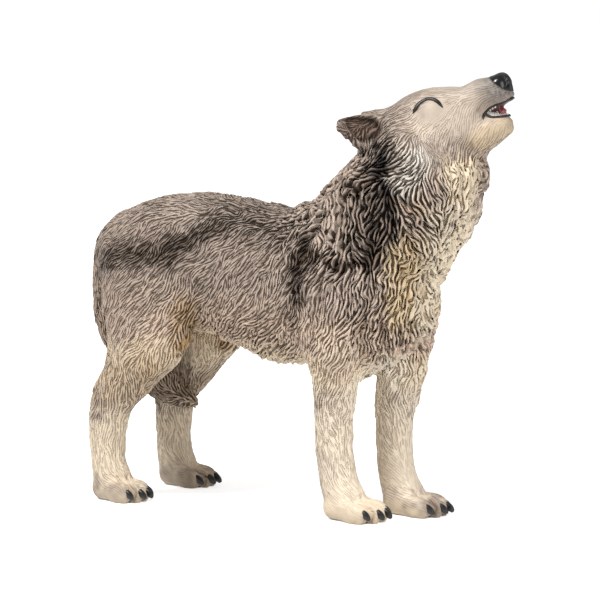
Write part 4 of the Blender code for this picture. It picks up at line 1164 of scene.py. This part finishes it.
def painted(path, lift, wide, high):
    # a low raised line of paint laid on the skin, in the head's axes, that tapers to both ends
    rows = catmullRom(path, 5) @ headTurn[:3, :3].T + headTurn[:3, 3]
    found = np.array([tree.find(place)[1] for place in rows])
    laid = skinPoints[found] * 0.8 + rows * 0.2 + smoothNormals[found] * lift
    for turn in range(3):
        laid[1:-1] = (laid[:-2] + 2 * laid[1:-1] + laid[2:]) / 4
    ahead = np.gradient(laid, axis=0)
    ahead /= np.linalg.norm(ahead, axis=1)[:, None]
    across = np.cross(ahead, smoothNormals[found])
    across /= np.linalg.norm(across, axis=1)[:, None]
    out = np.cross(across, ahead)
    share = np.linspace(0, 1, len(laid))
    taper = unit(np.minimum(share, 1 - share) * 7 + 0.15) ** 0.7
    rings = []
    for k in range(len(laid)):
        turns = [step * math.pi / 4 for step in range(8)]
        rings.append([Vector(laid[k] + across[k] * math.cos(turn) * wide * taper[k]
                             + out[k] * math.sin(turn) * high * taper[k]) for turn in turns])
    return skinned("line", rings)


# The closed lid, the upper and the lower lip in the head's axes, each with its lift, width and height
faceLines = [
    ([(8.1, -7.2, 1.9), (9.0, -6.8, 2.7), (9.9, -6.4, 3.1), (10.9, -6.0, 3.2), (12.0, -5.7, 2.9),
      (12.9, -5.9, 2.0), (13.4, -6.0, 0.6)], 0.08, 0.4, 0.22),
    ([(18.8, -2.9, -4.7), (19.2, -2.6, -3.9), (19.9, -2.6, -3.5), (20.8, -2.5, -3.1), (22.0, -2.4, -2.8),
      (23.0, -1.8, -2.7), (24.2, -1.1, -2.6), (24.7, -0.1, -2.6)], 0.05, 0.26, 0.24),
    ([(19.4, -2.5, -3.9), (19.8, -2.5, -4.3), (20.5, -2.6, -5.1), (21.6, -2.1, -5.6), (22.5, -1.2, -5.9),
      (23.2, -0.1, -6.2)], 0.05, 0.26, 0.24)]
details = [painted([(x, hand * y, z) for x, y, z in path], lift, wide, high)
           for hand in (-1, 1) for path, lift, wide, high in faceLines]
enamelled("lid_and_lip_lines", details, "blackBrownEnamel", "#1d1512", 0.4, 0.25)


def tooth(base, tip, radius):
    # a rounded peg from the gum to its point
    base, tip = Vector(base), Vector(tip)
    bm = bmesh.new()
    bmesh.ops.create_cone(bm, cap_ends=True, segments=10, radius1=radius, radius2=radius * 0.35,
                          depth=(tip - base).length)
    turn = (tip - base).to_track_quat("Z", "Y").to_matrix().to_4x4()
    place = headPlace() @ Matrix.Translation((base + tip) / 2) @ turn
    return placed(bm, place, "tooth")


teeth = []
for hand in (-1, 1):
    for step in range(9):
        share = step / 8
        x, y, z = 20.0 + 2.6 * share, 2.25 - 1.5 * share**1.6, -4.55 - 1.2 * share**0.8
        tall = 1.15 - 0.5 * share + 0.25 * (step == 5)
        tip = (x - 0.15, hand * (y - 0.1), z + tall)
        teeth.append(tooth((x, hand * y, z - 0.5), tip, 0.42 - 0.1 * share))
    for step in range(4):
        share = step / 3
        x, y, z = 20.1 + 1.5 * share, 2.2 - 0.1 * share, -3.35 + 0.3 * share
        teeth.append(tooth((x, hand * y, z + 0.5), (x, hand * (y - 0.1), z - 0.55), 0.34))
enamelled("teeth", teeth, "ivoryEnamel", "#efe9e2", 0.35, 0.05)
tongue = loft("tongue", [(20.6, 0, -4.9, 1.5, 0.5, 0.6), (21.6, 0, -4.9, 1.5, 0.55, 0.6),
                         (22.4, 0, -4.75, 1.1, 0.5, 0.6), (22.8, 0, -4.6, 0.6, 0.35, 0.4)],
              2.0, headPlace())
enamelled("tongue", [tongue], "rosePinkEnamel", "#a34a4c", 0.3, 0.15)
claws = []
for place, length, width in pawPlaces():
    for across, reach, wide in toes:
        tip, at = reach * length, across * 1.04 * width
        claws.append(loft("claw", [
            (tip - 1.5, at, 2.3, 0.42, 0.35, 0.35), (tip - 0.7, at, 2.3, 0.6, 0.55, 0.6),
            (tip + 0.1, at, 1.85, 0.58, 0.6, 0.75), (tip + 0.65, at, 1.25, 0.44, 0.5, 0.6),
            (tip + 0.9, at, 0.85, 0.2, 0.3, 0.3)], 2.3, place))
enamelled("claws", claws, "blackClawEnamel", "#191716", 0.35, 0.2)

# Studio
# matt paper, brightened for the camera and in reflections alone, so that it looks white
studio = {"glow": 0.68, "ambient": 0.38}
floorMaterial, tree, shader = newMaterial("paleBackdrop")
rays = addNode(tree, "ShaderNodeLightPath").outputs
seen = addNode(tree, "ShaderNodeMath", {"operation": "MAXIMUM"},
               {0: rays["Is Camera Ray"], 1: rays["Is Glossy Ray"]})
glow = addNode(tree, "ShaderNodeMath", {"operation": "MULTIPLY"}, {0: seen, 1: studio["glow"]})
connect(tree, shader, {"Base Color": (0.8, 0.79, 0.78, 1), "Roughness": 1.0, "Specular IOR Level": 0.0,
                       "Emission Color": (1, 1, 1, 1), "Emission Strength": glow})
floorMesh = bpy.data.meshes.new("floor")
floorMesh.from_pydata([(-3, -3, 0), (3, -3, 0), (3, 3, 0), (-3, 3, 0)], [], [(0, 1, 2, 3)])
floorMesh.materials.append(floorMaterial)
added("floor", floorMesh)

world = bpy.data.worlds.new("studio")
bpy.context.scene.world = world
world.use_nodes = True
tree = world.node_tree
rays = addNode(tree, "ShaderNodeLightPath").outputs
# white to the camera, dimmer as light
strength = addNode(tree, "ShaderNodeMath", {"operation": "MULTIPLY_ADD"},
                   {0: rays["Is Camera Ray"], 1: 1 - studio["ambient"], 2: studio["ambient"]})
connect(tree, tree.nodes["Background"], {"Color": (1, 1, 1, 1), "Strength": strength})


def areaLight(name, place, aim, size, power):
    light = bpy.data.lights.new(name, "AREA")
    light.size = size
    light.energy = power
    lamp = added(name, light)
    lamp.location = place
    lamp.rotation_euler = (Vector(aim) - Vector(place)).to_track_quat("-Z", "Y").to_euler()


areaLight("keyLamp", (-0.1, -0.42, 0.78), (0, 0, 0.04), 0.18, 7.0)
areaLight("fillLamp", (0.8, -0.1, 0.35), (0, 0, 0.04), 0.45, 2.6)

# degrees, metres, then millimetres of shift in the picture and of the lens
view = {"yaw": 33, "elevation": 7.02, "distance": 0.9, "right": 4.889, "down": 4.592, "lens": 278}
yaw, elevation = math.radians(view["yaw"]), math.radians(view["elevation"])
right = Vector((math.cos(yaw), math.sin(yaw), 0))
back = Vector((math.sin(yaw) * math.cos(elevation), -math.cos(yaw) * math.cos(elevation),
               math.sin(elevation)))
up = back.cross(right)
aim = Vector((-centring[0], 0, 45)) * mm + right * view["right"] * mm - up * view["down"] * mm
lens = bpy.data.cameras.new("camera")
lens.sensor_width = 36
lens.lens = view["lens"]
camera = added("camera", lens)
camera.matrix_world = (Matrix.Translation(aim + back * view["distance"])
                       @ Matrix((right, up, back)).transposed().to_4x4())
bpy.context.scene.camera = camera
bpy.context.scene.view_settings.view_transform = "Standard"
